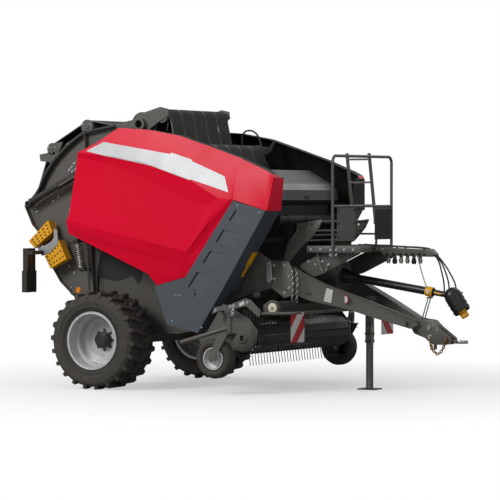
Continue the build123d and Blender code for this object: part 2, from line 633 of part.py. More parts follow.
# -------------------------------------------------------------------- driveline
GEARBOX_FRONT = 2250.0
PTO_REAR = (GEARBOX_FRONT, 1173.5)
KNUCKLE = (3487.0, 987.0)         # middle of the front joint's ball guard
KNUCKLE_R = 88.0
PTO_TILT = radians(-56)           # the front yoke and its cone hang down from the joint
CONE_LEN = 190.0
CONE_R = 92.0
CONE_MOUTH_R = 86.0
CONE_WALL = 5.0
CONE_HOLLOW = 120.0
TUBE_R = 41.0
THIN_R = 30.0
COLLAR_X = 3229.0
YOKE_R = 30.0
YOKE_END = 62.0                   # yoke's end past the cone's mouth
YOKE_BORE_R = 17.5
YOKE_BORE = 70.0
slope = atan2(KNUCKLE[1] - PTO_REAR[1], KNUCKLE[0] - PTO_REAR[0])
PTO_LEN = hypot(KNUCKLE[0] - PTO_REAR[0], KNUCKLE[1] - PTO_REAR[1])
pto_plane = Plane(origin=(AXLE_X + PTO_REAR[0], 0, PTO_REAR[1]), x_dir=(0, 1, 0), z_dir=(cos(slope), 0, sin(slope)))
COLLAR_AT = (COLLAR_X - PTO_REAR[0]) / cos(slope)
cone_plane = Plane(origin=(AXLE_X + KNUCKLE[0], 0, KNUCKLE[1]), x_dir=(0, 1, 0),
                   z_dir=(cos(PTO_TILT), 0, sin(PTO_TILT)))
with BuildPart() as gearbox:
    with BuildSketch(side(170)):
        Polygon((CROSS_X + CROSS_W / 2, 1120), (1960, 1000), (GEARBOX_FRONT, 1040), (GEARBOX_FRONT, 1300),
                (2040, 1330), (1960, 1300), (CROSS_X + CROSS_W / 2, 1262), align=None)
    extrude(amount=340)
gearbox.part.label = "gearbox"
export_step(gearbox.part, "parts/gearbox.step")

# guard: bell on the gearbox, telescoping tubes with a collar, ball over the joint, ribbed cone
with BuildPart() as pto_guard:
    with BuildSketch(Plane(origin=(AXLE_X + GEARBOX_FRONT + SEAT, 0, PTO_REAR[1]), x_dir=(0, 1, 0), z_dir=(1, 0, 0))):
        Circle(86)
    with BuildSketch(pto_plane.offset(170)):
        Circle(TUBE_R + 4)
    loft(ruled=True)
    with BuildSketch(pto_plane.offset(170)):
        Circle(TUBE_R)
    extrude(amount=COLLAR_AT - 170)
    with BuildSketch(pto_plane.offset(COLLAR_AT - 40)):
        Circle(TUBE_R + 5)
    extrude(amount=80)
    with BuildSketch(pto_plane.offset(COLLAR_AT + 40)):
        Circle(THIN_R)
    extrude(amount=PTO_LEN - COLLAR_AT - 40)
    with BuildSketch(Plane(origin=(AXLE_X + KNUCKLE[0], 0, KNUCKLE[1]), x_dir=(0, 1, 0), z_dir=cone_plane.z_dir)):
        Circle(CONE_R)
    with BuildSketch(cone_plane.offset(CONE_LEN)):
        Circle(CONE_MOUTH_R)
    loft(ruled=True)
    with Locations((AXLE_X + KNUCKLE[0], 0, KNUCKLE[1])):
        Sphere(KNUCKLE_R)
    for along in (60, 110, 160):
        with BuildSketch(cone_plane.offset(along)):
            Circle(CONE_R + 2)
        extrude(amount=8)
    with BuildSketch(cone_plane.offset(CONE_LEN)):
        Circle(CONE_MOUTH_R - CONE_WALL)
    extrude(amount=-CONE_HOLLOW, mode=Mode.SUBTRACT)
    with BuildSketch(cone_plane):
        Circle(YOKE_R + RUN_FIT)
    extrude(amount=CONE_LEN, mode=Mode.SUBTRACT)
    # hose rest on the far side of the thin tube
    with BuildSketch(Plane(origin=(AXLE_X, 0, HOSE_REST_Z))):
        Polygon((3290, 0), (3290, 130), (3540, 130), (3540, 96), (3400, 60), (3400, 0), align=None)
    extrude(amount=12)
pto_guard.part.label = "pto_guard"
export_step(pto_guard.part, "parts/pto_guard.step")

# yoke that turns in the cone
with BuildPart() as pto_shaft:
    with BuildSketch(cone_plane.offset(2)):
        Circle(YOKE_R)
    extrude(amount=CONE_LEN + YOKE_END - 2)
    with BuildSketch(cone_plane.offset(CONE_LEN - 14)):
        Circle(YOKE_R + 14)
    extrude(amount=34)
    with BuildSketch(cone_plane.offset(CONE_LEN + 28)):
        Circle(YOKE_R + 12)
    extrude(amount=YOKE_END - 28)
    with BuildSketch(cone_plane.offset(CONE_LEN + YOKE_END)):
        Circle(YOKE_BORE_R)
    extrude(amount=-YOKE_BORE, mode=Mode.SUBTRACT)
pto_shaft.part.label = "pto_shaft"
export_step(pto_shaft.part, "parts/pto_shaft.step")

# twin bars that hold the driveline up over the hitch
REST_BAR_R = 6.0
REST_GAP = 14.0
rest_foot = (3158.0, 752.0 + SEAT)
rest_top = (COLLAR_X, PTO_REAR[1] + (COLLAR_X - PTO_REAR[0]) * sin(slope) / cos(slope) - TUBE_R - 5 - SEAT)
rest_lean = atan2(rest_top[0] - rest_foot[0], rest_top[1] - rest_foot[1])
with BuildPart() as driveline_rest:
    with BuildSketch(Plane(origin=(AXLE_X, 0, rest_foot[1]))):
        with Locations((rest_foot[0] + REST_GAP / 2 - 5, 0)):
            Rectangle(60, 50)
    extrude(amount=6)
    for shift in (-REST_GAP, REST_GAP):
        with BuildSketch(Plane(origin=(AXLE_X + rest_foot[0] + shift, 0, rest_foot[1] + 2), x_dir=(0, 1, 0),
                               z_dir=(sin(rest_lean), 0, cos(rest_lean)))):
            Circle(REST_BAR_R)
        extrude(amount=(rest_top[1] - rest_foot[1] - 16) / cos(rest_lean))
    with BuildSketch(Plane(origin=(AXLE_X, 0, rest_top[1] - 22))):
        with Locations((rest_top[0] - 4, 0)):
            Rectangle(52, 40)
    extrude(amount=14)
    with BuildSketch(Plane(origin=(AXLE_X, 0, rest_top[1] - 10))):
        with Locations((rest_top[0], 0)):
            Rectangle(20, 30)
    extrude(amount=8.5)
driveline_rest.part.label = "driveline_rest"
export_step(driveline_rest.part, "parts/driveline_rest.step")

# jack on the left drawbar arm
with BuildPart() as jack_tube:
    with BuildSketch(Plane(origin=(AXLE_X + JACK_X, JACK_Y, JACK_LOW))):
        Rectangle(JACK_TUBE, JACK_TUBE)
        Rectangle(JACK_TUBE - 2 * JACK_T, JACK_TUBE - 2 * JACK_T, mode=Mode.SUBTRACT)
    extrude(amount=JACK_HIGH - JACK_LOW)
    with BuildSketch(Plane(origin=(AXLE_X + JACK_X, JACK_Y + JACK_TUBE / 2, 870))):
        Polygon(*[(x, TIP_Y + (TIP_X - JACK_X - x) * sin(spread) / cos(spread) - ARM_W / 2 / cos(spread) + 4 - SEAT
                   - JACK_Y - JACK_TUBE / 2) for x in (-30, 30)], (30, -4), (-30, -4), align=None)
    extrude(amount=90)
jack_tube.part.label = "jack_tube"
export_step(jack_tube.part, "parts/jack_tube.step")

with BuildPart() as jack_leg:
    with BuildSketch(Plane(origin=(AXLE_X + JACK_X, JACK_Y, 12))):
        Rectangle(JACK_LEG, JACK_LEG)
    extrude(amount=JACK_HIGH - 60)
    with BuildSketch(Plane(origin=(AXLE_X + JACK_X, JACK_Y, 0))):
        RectangleRounded(210, 200, 20)
    extrude(amount=12)
jack_leg.part.label = "jack_leg"
export_step(jack_leg.part, "parts/jack_leg.step")

# ------------------------------------------------------------------------ platform
LADDER_X = 2150.0
LADDER_W = 260.0
LADDER_HINGE = (660.0, 1720.0)     # Y and Z of the ladder's pins
LADDER_LEN = 740.0
LADDER_LEAN = 0.21
RUNGS = 3
RUNG_FIRST = 180.0
RUNG_PITCH = 240.0
RAIL_W = 30.0
RAIL_DEEP = 20.0
EAR_R = 20.0
HINGE_PIN_R = 8.0
POST_T = 10.0
BRACE_Y = RAIL_Y - 100         # braces under the platform
BRACE_T = 12.0
post_gap = LADDER_W / 2 + RAIL_W / 2 + 2
with BuildPart() as platform:
    with BuildSketch(Plane(origin=(AXLE_X, 0, DECK_Z - DECK_T))):
        Polygon((DECK_REAR, -RAIL_Y), (DECK_FRONT[0], -RAIL_Y), (DECK_FRONT[1], -60), (DECK_FRONT[1], 60),
                (DECK_FRONT[2], RAIL_Y), (DECK_REAR, RAIL_Y), align=None)
    extrude(amount=DECK_T)
    # brace down to the drawbar's root on each side, and the prop in the middle
    with BuildSketch(side(30)):
        Polygon((CROSS_X + CROSS_W / 2, CROSS_Z[1]), (CROSS_X + CROSS_W / 2, 1420), (DECK_REAR, 1480),
                (DECK_REAR, DECK_Z - DECK_T), align=None)
    extrude(amount=60)
    for y in (BRACE_Y, -BRACE_Y + BRACE_T):
        with BuildSketch(side(y)):
            Polygon((2001, 1261), (2010, 1300), (2209, 1395), (2300, DECK_Z - DECK_T + 5), (2687, DECK_Z - DECK_T + 5),
                    (2687, DECK_Z - DECK_T - 12), (2232, 1194), (2160, 1174), align=None)
        extrude(amount=BRACE_T)
    # beam along the left edge, with the ladder's posts, pins and fixed step
    with BuildSketch(side(RAIL_Y + 40)):
        Polygon((LADDER_X - post_gap - POST_T, DECK_Z - DECK_T), (LADDER_X - post_gap - POST_T, DECK_Z - 25),
                (DECK_FRONT[2] - 30, DECK_Z - 25), (DECK_FRONT[2] - 30, DECK_Z - DECK_T), align=None)
    extrude(amount=40)
    for s in (-1, 1):
        start = LADDER_X + s * post_gap - (POST_T if s < 0 else 0)
        with BuildSketch(Plane(origin=(AXLE_X + start, 0, 0), x_dir=(0, 1, 0), z_dir=(1, 0, 0))):
            Polygon((RAIL_Y, DECK_Z - DECK_T), (RAIL_Y + 40, DECK_Z - DECK_T),
                    (LADDER_HINGE[0] + EAR_R, LADDER_HINGE[1]), (LADDER_HINGE[0], LADDER_HINGE[1] + EAR_R),
                    (LADDER_HINGE[0] - EAR_R, LADDER_HINGE[1]), align=None)
        extrude(amount=POST_T)
        with BuildSketch(Plane(origin=(AXLE_X + LADDER_X + s * post_gap, *LADDER_HINGE), x_dir=(0, 1, 0),
                               z_dir=(-s, 0, 0))):
            Circle(HINGE_PIN_R)
        extrude(amount=RAIL_W + 2)
    with BuildSketch(Plane(origin=(AXLE_X + LADDER_X - post_gap, RAIL_Y + 30, DECK_Z + 110), x_dir=(0, 1, 0),
                           z_dir=(1, 0, 0))):
        Rectangle(RAIL_W, RAIL_DEEP)
    extrude(amount=2 * post_gap)
platform.part.label = "platform"
export_step(platform.part, "parts/platform.step")

# guard hoop across the platform, on the outer faces of its side beams, with a middle rail and two plates
HOOP_Y = RAIL_Y + RAIL_R + SEAT
HOOP_FOOT = DECK_Z - DECK_T
hoop_run = hypot(2 * HOOP_Y, HOOP_X[1] - HOOP_X[0])
hoop_along = ((HOOP_X[1] - HOOP_X[0]) / hoop_run, 2 * HOOP_Y / hoop_run, 0)
hoop_plane = Plane(origin=(AXLE_X + HOOP_X[0], -HOOP_Y, 0), x_dir=hoop_along, z_dir=(hoop_along[1], -hoop_along[0], 0))
with BuildPart() as guard_rail:
    with BuildLine(hoop_plane) as hoop:
        FilletPolyline((0, HOOP_Z[0]), (0, HOOP_Z[2]), (hoop_run, HOOP_Z[2]), (hoop_run, HOOP_FOOT), radius=65)
    with BuildSketch(Plane(origin=hoop.line @ 0, z_dir=hoop.line % 0)):
        Circle(RAIL_R)
    sweep()
    with BuildSketch(Plane(origin=(AXLE_X + HOOP_X[0], -HOOP_Y, HOOP_Z[1]), x_dir=(0, 0, 1), z_dir=hoop_along)):
        Circle(RAIL_R - 2)
    extrude(amount=hoop_run)
    # plates under the middle rail: distance along the hoop, low and high edges
    with BuildSketch(hoop_plane):
        for start, stop, low in ((90, 460, 1540), (870, hoop_run - 5, 1546)):
            Polygon((start, low), (start, HOOP_Z[1]), (stop, HOOP_Z[1]), (stop, low), align=None)
    extrude(amount=4)
guard_rail.part.label = "guard_rail"
export_step(guard_rail.part, "parts/guard_rail.step")

# hose bar ahead of the platform, with a coupling rail below and a slanted block at its end
BAR_REAR = DECK_FRONT[1] + SEAT
BAR_FRONT = 3226.0
BAR_HALF = 25.0
with BuildPart() as hose_bar:
    with BuildSketch(side(BAR_HALF)):
        Polygon((BAR_REAR, 1476), (BAR_FRONT, 1452), (BAR_FRONT, 1411), (BAR_REAR, DECK_Z - DECK_T), align=None)
    extrude(amount=2 * BAR_HALF)
    with BuildSketch(side(BAR_HALF + 35)):
        Polygon((BAR_FRONT - 20, 1460), (BAR_FRONT + 20, 1460), (BAR_FRONT + 79, 1401), (BAR_FRONT + 58, 1380),
                (BAR_FRONT - 20, 1380), align=None)
    extrude(amount=2 * BAR_HALF + 70)
    with BuildSketch(side(BAR_HALF)):
        Polygon((2700, 1440), (BAR_FRONT - 60, 1425), (BAR_FRONT - 60, 1380), (2700, 1390), align=None)
    extrude(amount=2 * BAR_HALF)
    for i in range(6):
        with BuildSketch(Plane(origin=(AXLE_X + 2760 + 72 * i, 0, 1352))):
            Circle(18)
        extrude(amount=40)
hose_bar.part.label = "hose_bar"
export_step(hose_bar.part, "parts/hose_bar.step")

# folding ladder on the left edge: it stands up over two posts and swings down over the side
with BuildPart() as ladder:
    for s in (-1, 1):
        with BuildSketch(Plane(origin=(AXLE_X + LADDER_X + s * LADDER_W / 2, *LADDER_HINGE), x_dir=(1, 0, 0),
                               z_dir=(0, -LADDER_LEAN, 1))):
            Rectangle(RAIL_W, RAIL_DEEP)
        extrude(amount=LADDER_LEN)
        with BuildSketch(Plane(origin=(AXLE_X + LADDER_X + s * LADDER_W / 2 - RAIL_W / 2, *LADDER_HINGE),
                               x_dir=(0, 1, 0), z_dir=(1, 0, 0))):
            Circle(EAR_R)
        extrude(amount=RAIL_W)
    for i in range(RUNGS):
        up = RUNG_FIRST + RUNG_PITCH * i
        with BuildSketch(Plane(origin=(AXLE_X + LADDER_X - LADDER_W / 2, LADDER_HINGE[0] - LADDER_LEAN * up,
                                       LADDER_HINGE[1] + up), x_dir=(0, 1, 0), z_dir=(1, 0, 0))):
            Rectangle(RAIL_W, RAIL_DEEP)
        extrude(amount=LADDER_W)
    with BuildSketch(Plane(origin=(AXLE_X + LADDER_X - LADDER_W, *LADDER_HINGE), x_dir=(0, 1, 0), z_dir=(1, 0, 0))):
        Circle(HINGE_PIN_R + RUN_FIT)
    extrude(amount=2 * LADDER_W, mode=Mode.SUBTRACT)
ladder.part.label = "ladder"
export_step(ladder.part, "parts/ladder.step")

# ---------------------------------------------------------------------- net box
LID_HALF = CHAMBER_HALF + 80
LID_T = 5.0
NET_ROLLER = (1775.0, 1750.0)
NET_ROLLER_R = 50.0
with BuildPart() as net_box:
    with BuildSketch(side(CHAMBER_HALF)):
        Polygon((1340, 1800), (1340, 2040), (1640, 2020), (1740, 1900), (1740, 1800), align=None)
        Polygon((1352, 1812), (1352, 2060), (1640, 2040), (1728, 1894), (1728, 1812), align=None, mode=Mode.SUBTRACT)
    extrude(amount=2 * CHAMBER_HALF)
    # cheeks, carried down to the net roller
    with BuildSketch(side(-CHAMBER_HALF + WALL_T)):
        Polygon((1290, 1740), (1290, 2020), (1340, 2040), (1640, 2020), (1740, 1900), (1838, 1790), (1838, 1710),
                (1775, 1676), (1400, 1740), align=None)
    extrude(amount=WALL_T)
    mirror(about=Plane.XZ)
    with BuildSketch(side(CHAMBER_HALF - WALL_T)):
        with Locations(NET_ROLLER):
            Circle(NET_ROLLER_R)
    extrude(amount=2 * (CHAMBER_HALF - WALL_T))
    for y in (-380, 0, 380):
        with BuildSketch(side(y + 20)):
            with Locations(NET_ROLLER):
                Circle(NET_ROLLER_R + 4)
        extrude(amount=40)
net_box.part.label = "net_box"
export_step(net_box.part, "parts/net_box.step")

# hood over the net roll, on pins that stand out of the chamber walls
lid_skin = [(1190, 2207), (1468, 2269), (1732, 2125), (1806, 2058), (1816, 1955), (1744, 1917)]
lid_under = [(1742, 1922), (1810, 1958), (1801, 2055), (1729, 2120), (1467, 2263), (1191, 2202)]
lid_end = [(1150, 2150), (1140, 2190), (1190, 2207), (1468, 2269), (1732, 2125), (1806, 2058), (1816, 1955),
           (1744, 1917), (1690, 1990)]
with BuildPart() as net_lid:
    with BuildSketch(side(LID_HALF)):
        Polygon(*lid_skin, *lid_under, align=None)
    extrude(amount=2 * LID_HALF)
    for y in (LID_HALF, -LID_HALF + LID_T):
        with BuildSketch(side(y)):
            Polygon(*lid_end, align=None)
            with Locations(LID_HINGE):
                Circle(EAR_R)
                Circle(LID_PIN_R + RUN_FIT, mode=Mode.SUBTRACT)
        extrude(amount=LID_T)
net_lid.part.label = "net_lid"
export_step(net_lid.part, "parts/net_lid.step")

# ------------------------------------------------------------------------- pickup
PICKUP_HALF = REEL_HALF + 10
pickup_outline = [(1400, 905), (1700, 760), (1800, 640), (1790, 520), (1700, 440), (1500, 430), (1080, 480),
                  (1060, 570), (1200, 600)]
PICKUP_ARM_Y = WALL_OUT + 14.0
BEAM = 80.0
BEAM_AT = (1290.0, 610.0)
STRIPPER_BARS = [(1365, 745, 50, 40), (1320, 490, 40, 40)]     # x, z, width, height
with BuildPart() as pickup_frame:
    with BuildSketch(side(-PICKUP_HALF)):
        Polygon(*pickup_outline, align=None)
        with Locations((REEL_X, REEL_Z)):
            Circle(REEL_SHAFT_R + RUN_FIT, mode=Mode.SUBTRACT)
    extrude(amount=8)
    with BuildSketch(side(-PICKUP_ARM_Y)):
        with Locations(PICKUP_PIVOT, BEAM_AT):
            Circle(45)
        make_hull()
        with Locations(PICKUP_PIVOT):
            Circle(20 + RUN_FIT, mode=Mode.SUBTRACT)
    extrude(amount=12)
    mirror(about=Plane.XZ)
    with BuildSketch(side(PICKUP_HALF)):
        with Locations(BEAM_AT):
            Rectangle(BEAM, BEAM)
        for x, z, w, h in STRIPPER_BARS:
            with Locations((x, z)):
                Rectangle(w, h)
    extrude(amount=2 * PICKUP_HALF)
pickup_frame.part.label = "pickup_frame"
export_step(pickup_frame.part, "parts/pickup_frame.step")

band_count = int(2 * REEL_HALF / TINE_PITCH) + 1
band_rows = [(i - (band_count - 1) / 2) * TINE_PITCH for i in range(band_count)]
bar_top, bar_low = STRIPPER_BARS
rear_top = (bar_top[0] + bar_top[2] / 2 + SEAT, bar_top[1] + 15)
rear_low = (bar_low[0] + bar_low[2] / 2 + SEAT, bar_low[1] + 10)
band_out = [rear_top] + around((REEL_X, REEL_Z), BAND_R, 110, -110, 9) + [rear_low]
band_in = ([(rear_top[0], rear_top[1] - BAND_T)] + around((REEL_X, REEL_Z), BAND_R - BAND_T, 110, -110, 9)
           + [(rear_low[0], rear_low[1] + BAND_T)])
with BuildPart() as stripper_bands:
    for y in band_rows:
        with BuildSketch(side(y + BAND_W / 2)):
            Polygon(*band_out, *reversed(band_in), align=None)
        extrude(amount=BAND_W)
stripper_bands.part.label = "stripper_bands"
export_step(stripper_bands.part, "parts/stripper_bands.step")

TINE_BARS = 4
TINE_LEAN = 8.0
tine_rows = [y + TINE_PITCH / 2 for y in band_rows[:-1]]
with BuildPart() as pickup_reel:
    with BuildSketch(side(REEL_HALF - 4)):
        with Locations((REEL_X, REEL_Z)):
            Circle(70)
    extrude(amount=2 * (REEL_HALF - 4))
    with BuildSketch(side(PICKUP_HALF + 20)):
        with Locations((REEL_X, REEL_Z)):
            Circle(REEL_SHAFT_R)
    extrude(amount=2 * (PICKUP_HALF + 20))
    for bar_no in range(TINE_BARS):
        turn = TINE_LEAN + 360 / TINE_BARS * bar_no
        spoke = Plane(origin=(AXLE_X + REEL_X, 0, REEL_Z), x_dir=(0, 1, 0),
                      z_dir=(sin(radians(turn)), 0, -cos(radians(turn))))
        with BuildSketch(spoke.offset(68)):
            with Locations(*[(y, 0) for y in tine_rows]):
                Rectangle(2 * TINE_R, 2 * TINE_R)
        extrude(amount=REEL_R - 68)
pickup_reel.part.label = "pickup_reel"
export_step(pickup_reel.part, "parts/pickup_reel.step")

# hinge pins of the pickup, on the chamber walls
with BuildPart() as pickup_pins:
    with BuildSketch(side(-WALL_OUT)):
        with Locations(PICKUP_PIVOT):
            Circle(20)
    extrude(amount=PICKUP_ARM_Y + 20 - WALL_OUT)
    mirror(about=Plane.XZ)
pickup_pins.part.label = "pickup_pins"
export_step(pickup_pins.part, "parts/pickup_pins.step")

# crop press: bent arms, guard tube, roller and two boards that face forward
PRESS_Y = 1150.0
ROLLER_AT = (1990.0, 872.0)
press_arm = [(1340, 800), (1375, 872), (1560, 905), (1730, 968), (1790, 955), (1905, 850), (1885, 780), (1740, 890),
             (1560, 850), (1440, 838)]
with BuildPart() as press_arms:
    with BuildSketch(side(-PRESS_Y)):
        Polygon(*press_arm, align=None)
    extrude(amount=10)
    with BuildSketch(side(-PICKUP_HALF - 8)):
        with Locations((1385, 838)):
            Circle(18)
    extrude(amount=PRESS_Y - PICKUP_HALF - 8)
    mirror(about=Plane.XZ)
press_arms.part.label = "press_arms"
export_step(press_arms.part, "parts/press_arms.step")

GUARD_TUBE_R = 17.0
BOARD = 282.0
BOARD_X = 2245.0
BOARD_Y = 1007.0
BOARD_Z = 671.0
CLIP_Y = 885.0
BOARD_T = 3.0
CLIP_T = 8.0
guard_x = BOARD_X - CLIP_T - SEAT - GUARD_TUBE_R
GUARD_CORNER_Y = 1010.0
GUARD_REAR = 1870.0
guard_lean = atan2(PRESS_Y - GUARD_TUBE_R - GUARD_CORNER_Y, guard_x - GUARD_REAR)
guard_end = PRESS_Y - GUARD_TUBE_R * cos(guard_lean) - SEAT
HOUSING_Y = 1045.0
with BuildPart() as guard_tube:
    with BuildLine() as guard_path:
        FilletPolyline((AXLE_X + GUARD_REAR, -guard_end, 815), (AXLE_X + guard_x, -GUARD_CORNER_Y, 820),
                       (AXLE_X + guard_x, GUARD_CORNER_Y, 820), (AXLE_X + GUARD_REAR, guard_end, 815), radius=60)
    with BuildSketch(Plane(origin=guard_path.line @ 0, z_dir=guard_path.line % 0)):
        Circle(GUARD_TUBE_R)
    sweep()
    # housings at the roller's ends: plate with a round rim
    for s in (-1, 1):
        with BuildSketch(side(s * HOUSING_Y + 8)):
            Polygon((1880, 900), (1960, 950), (2030, 945), (2070, 880), (2060, 820), (1880, 800), align=None)
            with Locations(ROLLER_AT):
                Circle(12 + RUN_FIT, mode=Mode.SUBTRACT)
        extrude(amount=16)
        with BuildSketch(side(s * (HOUSING_Y + 18) + 10)):
            with Locations(ROLLER_AT):
                Circle(68)
                Circle(56, mode=Mode.SUBTRACT)
        extrude(amount=20)
guard_tube.part.label = "guard_tube"
export_step(guard_tube.part, "parts/guard_tube.step")

with BuildPart() as crop_roller:
    with BuildSketch(side(1025)):
        with Locations(ROLLER_AT):
            Circle(62)
    extrude(amount=2050)
    with BuildSketch(side(1068)):
        with Locations(ROLLER_AT):
            Circle(12)
    extrude(amount=2136)
crop_roller.part.label = "crop_roller"
export_step(crop_roller.part, "parts/crop_roller.step")

with BuildPart() as warning_boards:
    for s in (-1, 1):
        with BuildSketch(Plane(origin=(AXLE_X + BOARD_X, s * BOARD_Y, BOARD_Z), x_dir=(0, 1, 0), z_dir=(1, 0, 0))):
            RectangleRounded(BOARD, BOARD, 8)
        extrude(amount=BOARD_T)
        # clip against the guard tube
        with BuildSketch(Plane(origin=(AXLE_X + BOARD_X, s * CLIP_Y, BOARD_Z + BOARD / 2 - 15), x_dir=(0, 1, 0),
                               z_dir=(-1, 0, 0))):
            Rectangle(40, 60)
        extrude(amount=CLIP_T)
warning_boards.part.label = "warning_boards"
export_step(warning_boards.part, "parts/warning_boards.step")

# gauge wheels: arm tube on the pickup's end, upright sleeve, forked caster, wheel
PIN_X = GAUGE_X + GAUGE_TRAIL
ARM_REAR = (1096.0, 520.0)
SLEEVE_LOW = 640.0
SLEEVE_HIGH = 780.0
FORK_TOP = 622.0
FORK_T = 8.0
fork_half = GAUGE_W / 2 + 10
with BuildPart() as gauge_arms:
    with BuildSketch(Plane(origin=(AXLE_X + PIN_X, -GAUGE_Y, SLEEVE_LOW))):
        Circle(26)
    extrude(amount=SLEEVE_HIGH - SLEEVE_LOW)
    slope = atan2(SLEEVE_LOW + 40 - ARM_REAR[1], PIN_X - ARM_REAR[0])
    with BuildSketch(Plane(origin=(AXLE_X + ARM_REAR[0], -GAUGE_Y, ARM_REAR[1]), x_dir=(0, 1, 0),
                           z_dir=(cos(slope), 0, sin(slope)))):
        Circle(22)
    extrude(amount=(PIN_X - ARM_REAR[0]) / cos(slope))
    with BuildSketch(side(-PICKUP_HALF - 8)):
        with Locations(ARM_REAR):
            Circle(22)
    extrude(amount=GAUGE_Y - PICKUP_HALF - 8)
    with BuildSketch(Plane(origin=(AXLE_X + PIN_X, -GAUGE_Y, SLEEVE_LOW))):
        Circle(GAUGE_PIN_R + RUN_FIT)
    extrude(amount=SLEEVE_HIGH - SLEEVE_LOW, mode=Mode.SUBTRACT)
    mirror(about=Plane.XZ)
gauge_arms.part.label = "gauge_arms"
export_step(gauge_arms.part, "parts/gauge_arms.step")

with BuildPart() as caster_right:
    fork_side = [(PIN_X + 30, FORK_TOP), (PIN_X - 75, FORK_TOP), (PIN_X - 95, 590), (GAUGE_X - 38, GAUGE_Z - 10),
                 (GAUGE_X, GAUGE_Z - 42), (GAUGE_X + 38, GAUGE_Z), (PIN_X + 10, 590)]
    for s in (-1, 1):
        with BuildSketch(side(-GAUGE_Y + s * (fork_half + FORK_T / 2) + FORK_T / 2)):
            Polygon(*fork_side, align=None)
        extrude(amount=FORK_T)
    with BuildSketch(side(-GAUGE_Y + fork_half)):
        Polygon((PIN_X + 30, FORK_TOP), (PIN_X - 75, FORK_TOP), (PIN_X - 82, FORK_TOP - FORK_T),
                (PIN_X + 27, FORK_TOP - FORK_T), align=None)
    extrude(amount=2 * fork_half)
    with BuildSketch(Plane(origin=(AXLE_X + PIN_X, -GAUGE_Y, FORK_TOP - FORK_T))):
        Circle(GAUGE_PIN_R)
    extrude(amount=SLEEVE_HIGH + 12 - FORK_TOP + FORK_T)
    with BuildSketch(Plane(origin=(AXLE_X + PIN_X, -GAUGE_Y, SLEEVE_HIGH + 6))):
        Circle(26)
    extrude(amount=10)
    with BuildSketch(Plane(origin=(AXLE_X + PIN_X, -GAUGE_Y, FORK_TOP))):
        Circle(26)
    extrude(amount=SLEEVE_LOW - FORK_TOP - 6)
    with BuildSketch(side(-GAUGE_Y + fork_half + FORK_T)):
        with Locations((GAUGE_X, GAUGE_Z)):
            Circle(10)
    extrude(amount=2 * (fork_half + FORK_T))
caster_right.part.label = "caster_right"
export_step(caster_right.part, "parts/caster_right.step")
caster_left = mirror(caster_right.part, about=Plane.XZ)
caster_left.label = "caster_left"
export_step(caster_left, "parts/caster_left.step")

gauge_plane = Plane(origin=(AXLE_X + GAUGE_X, -GAUGE_Y, GAUGE_Z), x_dir=(0, -1, 0), z_dir=(1, 0, 0))
gauge_axis = Axis((AXLE_X + GAUGE_X, 0, GAUGE_Z), (0, 1, 0))
gauge_half = [(58, GAUGE_RIM_R), (58, GAUGE_RIM_R + 8), (74, 132), (GAUGE_W / 2, 158), (70, 180), (50, 194),
              (25, GAUGE_R)]
with BuildPart() as gauge_tyre_right:
    with BuildSketch(gauge_plane):
        Polygon(*gauge_half, *[(-u, r) for u, r in reversed(gauge_half)], align=None)
        # grooves round the tread
        with Locations((-12, GAUGE_R), (12, GAUGE_R)):
            Rectangle(5, 12, mode=Mode.SUBTRACT)
    revolve(axis=gauge_axis)
gauge_tyre_right.part.label = "gauge_tyre_right"
export_step(gauge_tyre_right.part, "parts/gauge_tyre_right.step")
gauge_tyre_left = mirror(gauge_tyre_right.part, about=Plane.XZ)
gauge_tyre_left.label = "gauge_tyre_left"
export_step(gauge_tyre_left, "parts/gauge_tyre_left.step")

with BuildPart() as gauge_rim_right:
    with BuildSketch(gauge_plane):
        with BuildLine():
            Polyline((-66, GAUGE_RIM_R + 5), (-61, GAUGE_RIM_R + 5), (-61, GAUGE_RIM_R - SEAT), (61, GAUGE_RIM_R - SEAT),
                     (61, GAUGE_RIM_R + 5), (66, GAUGE_RIM_R + 5), (66, GAUGE_RIM_R - 6), (30, GAUGE_RIM_R - 10),
                     (12, 70), (40, 34), (40, 10 + RUN_FIT), (-40, 10 + RUN_FIT), (-40, 30), (6, 64),
                     (20, GAUGE_RIM_R - 14), (-66, GAUGE_RIM_R - 6), (-66, GAUGE_RIM_R + 5))
        make_face()
    revolve(axis=gauge_axis)
gauge_rim_right.part.label = "gauge_rim_right"
export_step(gauge_rim_right.part, "parts/gauge_rim_right.step")
gauge_rim_left = mirror(gauge_rim_right.part, about=Plane.XZ)
gauge_rim_left.label = "gauge_rim_left"
export_step(gauge_rim_left, "parts/gauge_rim_left.step")

# --------------------------------------------------------------- tailgate cylinders
CYL_LEN = hypot(CYL_LOW[0] - CYL_HIGH[0], CYL_LOW[1] - CYL_HIGH[1])
BARREL_LEN = 720.0
cyl_dir = ((CYL_LOW[0] - CYL_HIGH[0]) / CYL_LEN, 0, (CYL_LOW[1] - CYL_HIGH[1]) / CYL_LEN)
cyl_plane = Plane(origin=(AXLE_X + CYL_HIGH[0], -CYL_Y, CYL_HIGH[1]), x_dir=(0, 1, 0), z_dir=cyl_dir)
EYE_R = 32.0
EYE_PIN_R = 15.0
with BuildPart() as cylinder_barrels:
    with BuildSketch(cyl_plane.offset(EYE_R - 6)):
        Circle(CYL_R)
    extrude(amount=BARREL_LEN - EYE_R + 6)
    with BuildSketch(side(-CYL_Y + 20)):
        with Locations(CYL_HIGH):
            Circle(EYE_R)
    extrude(amount=40)
    with BuildSketch(side(-CYL_Y + 20)):
        with Locations(CYL_HIGH):
            Circle(EYE_PIN_R + RUN_FIT)
    extrude(amount=40, mode=Mode.SUBTRACT)
    with BuildSketch(cyl_plane.offset(210)):
        Circle(ROD_R + RUN_FIT)
    extrude(amount=BARREL_LEN - 210, mode=Mode.SUBTRACT)
    mirror(about=Plane.XZ)
cylinder_barrels.part.label = "cylinder_barrels"
export_step(cylinder_barrels.part, "parts/cylinder_barrels.step")

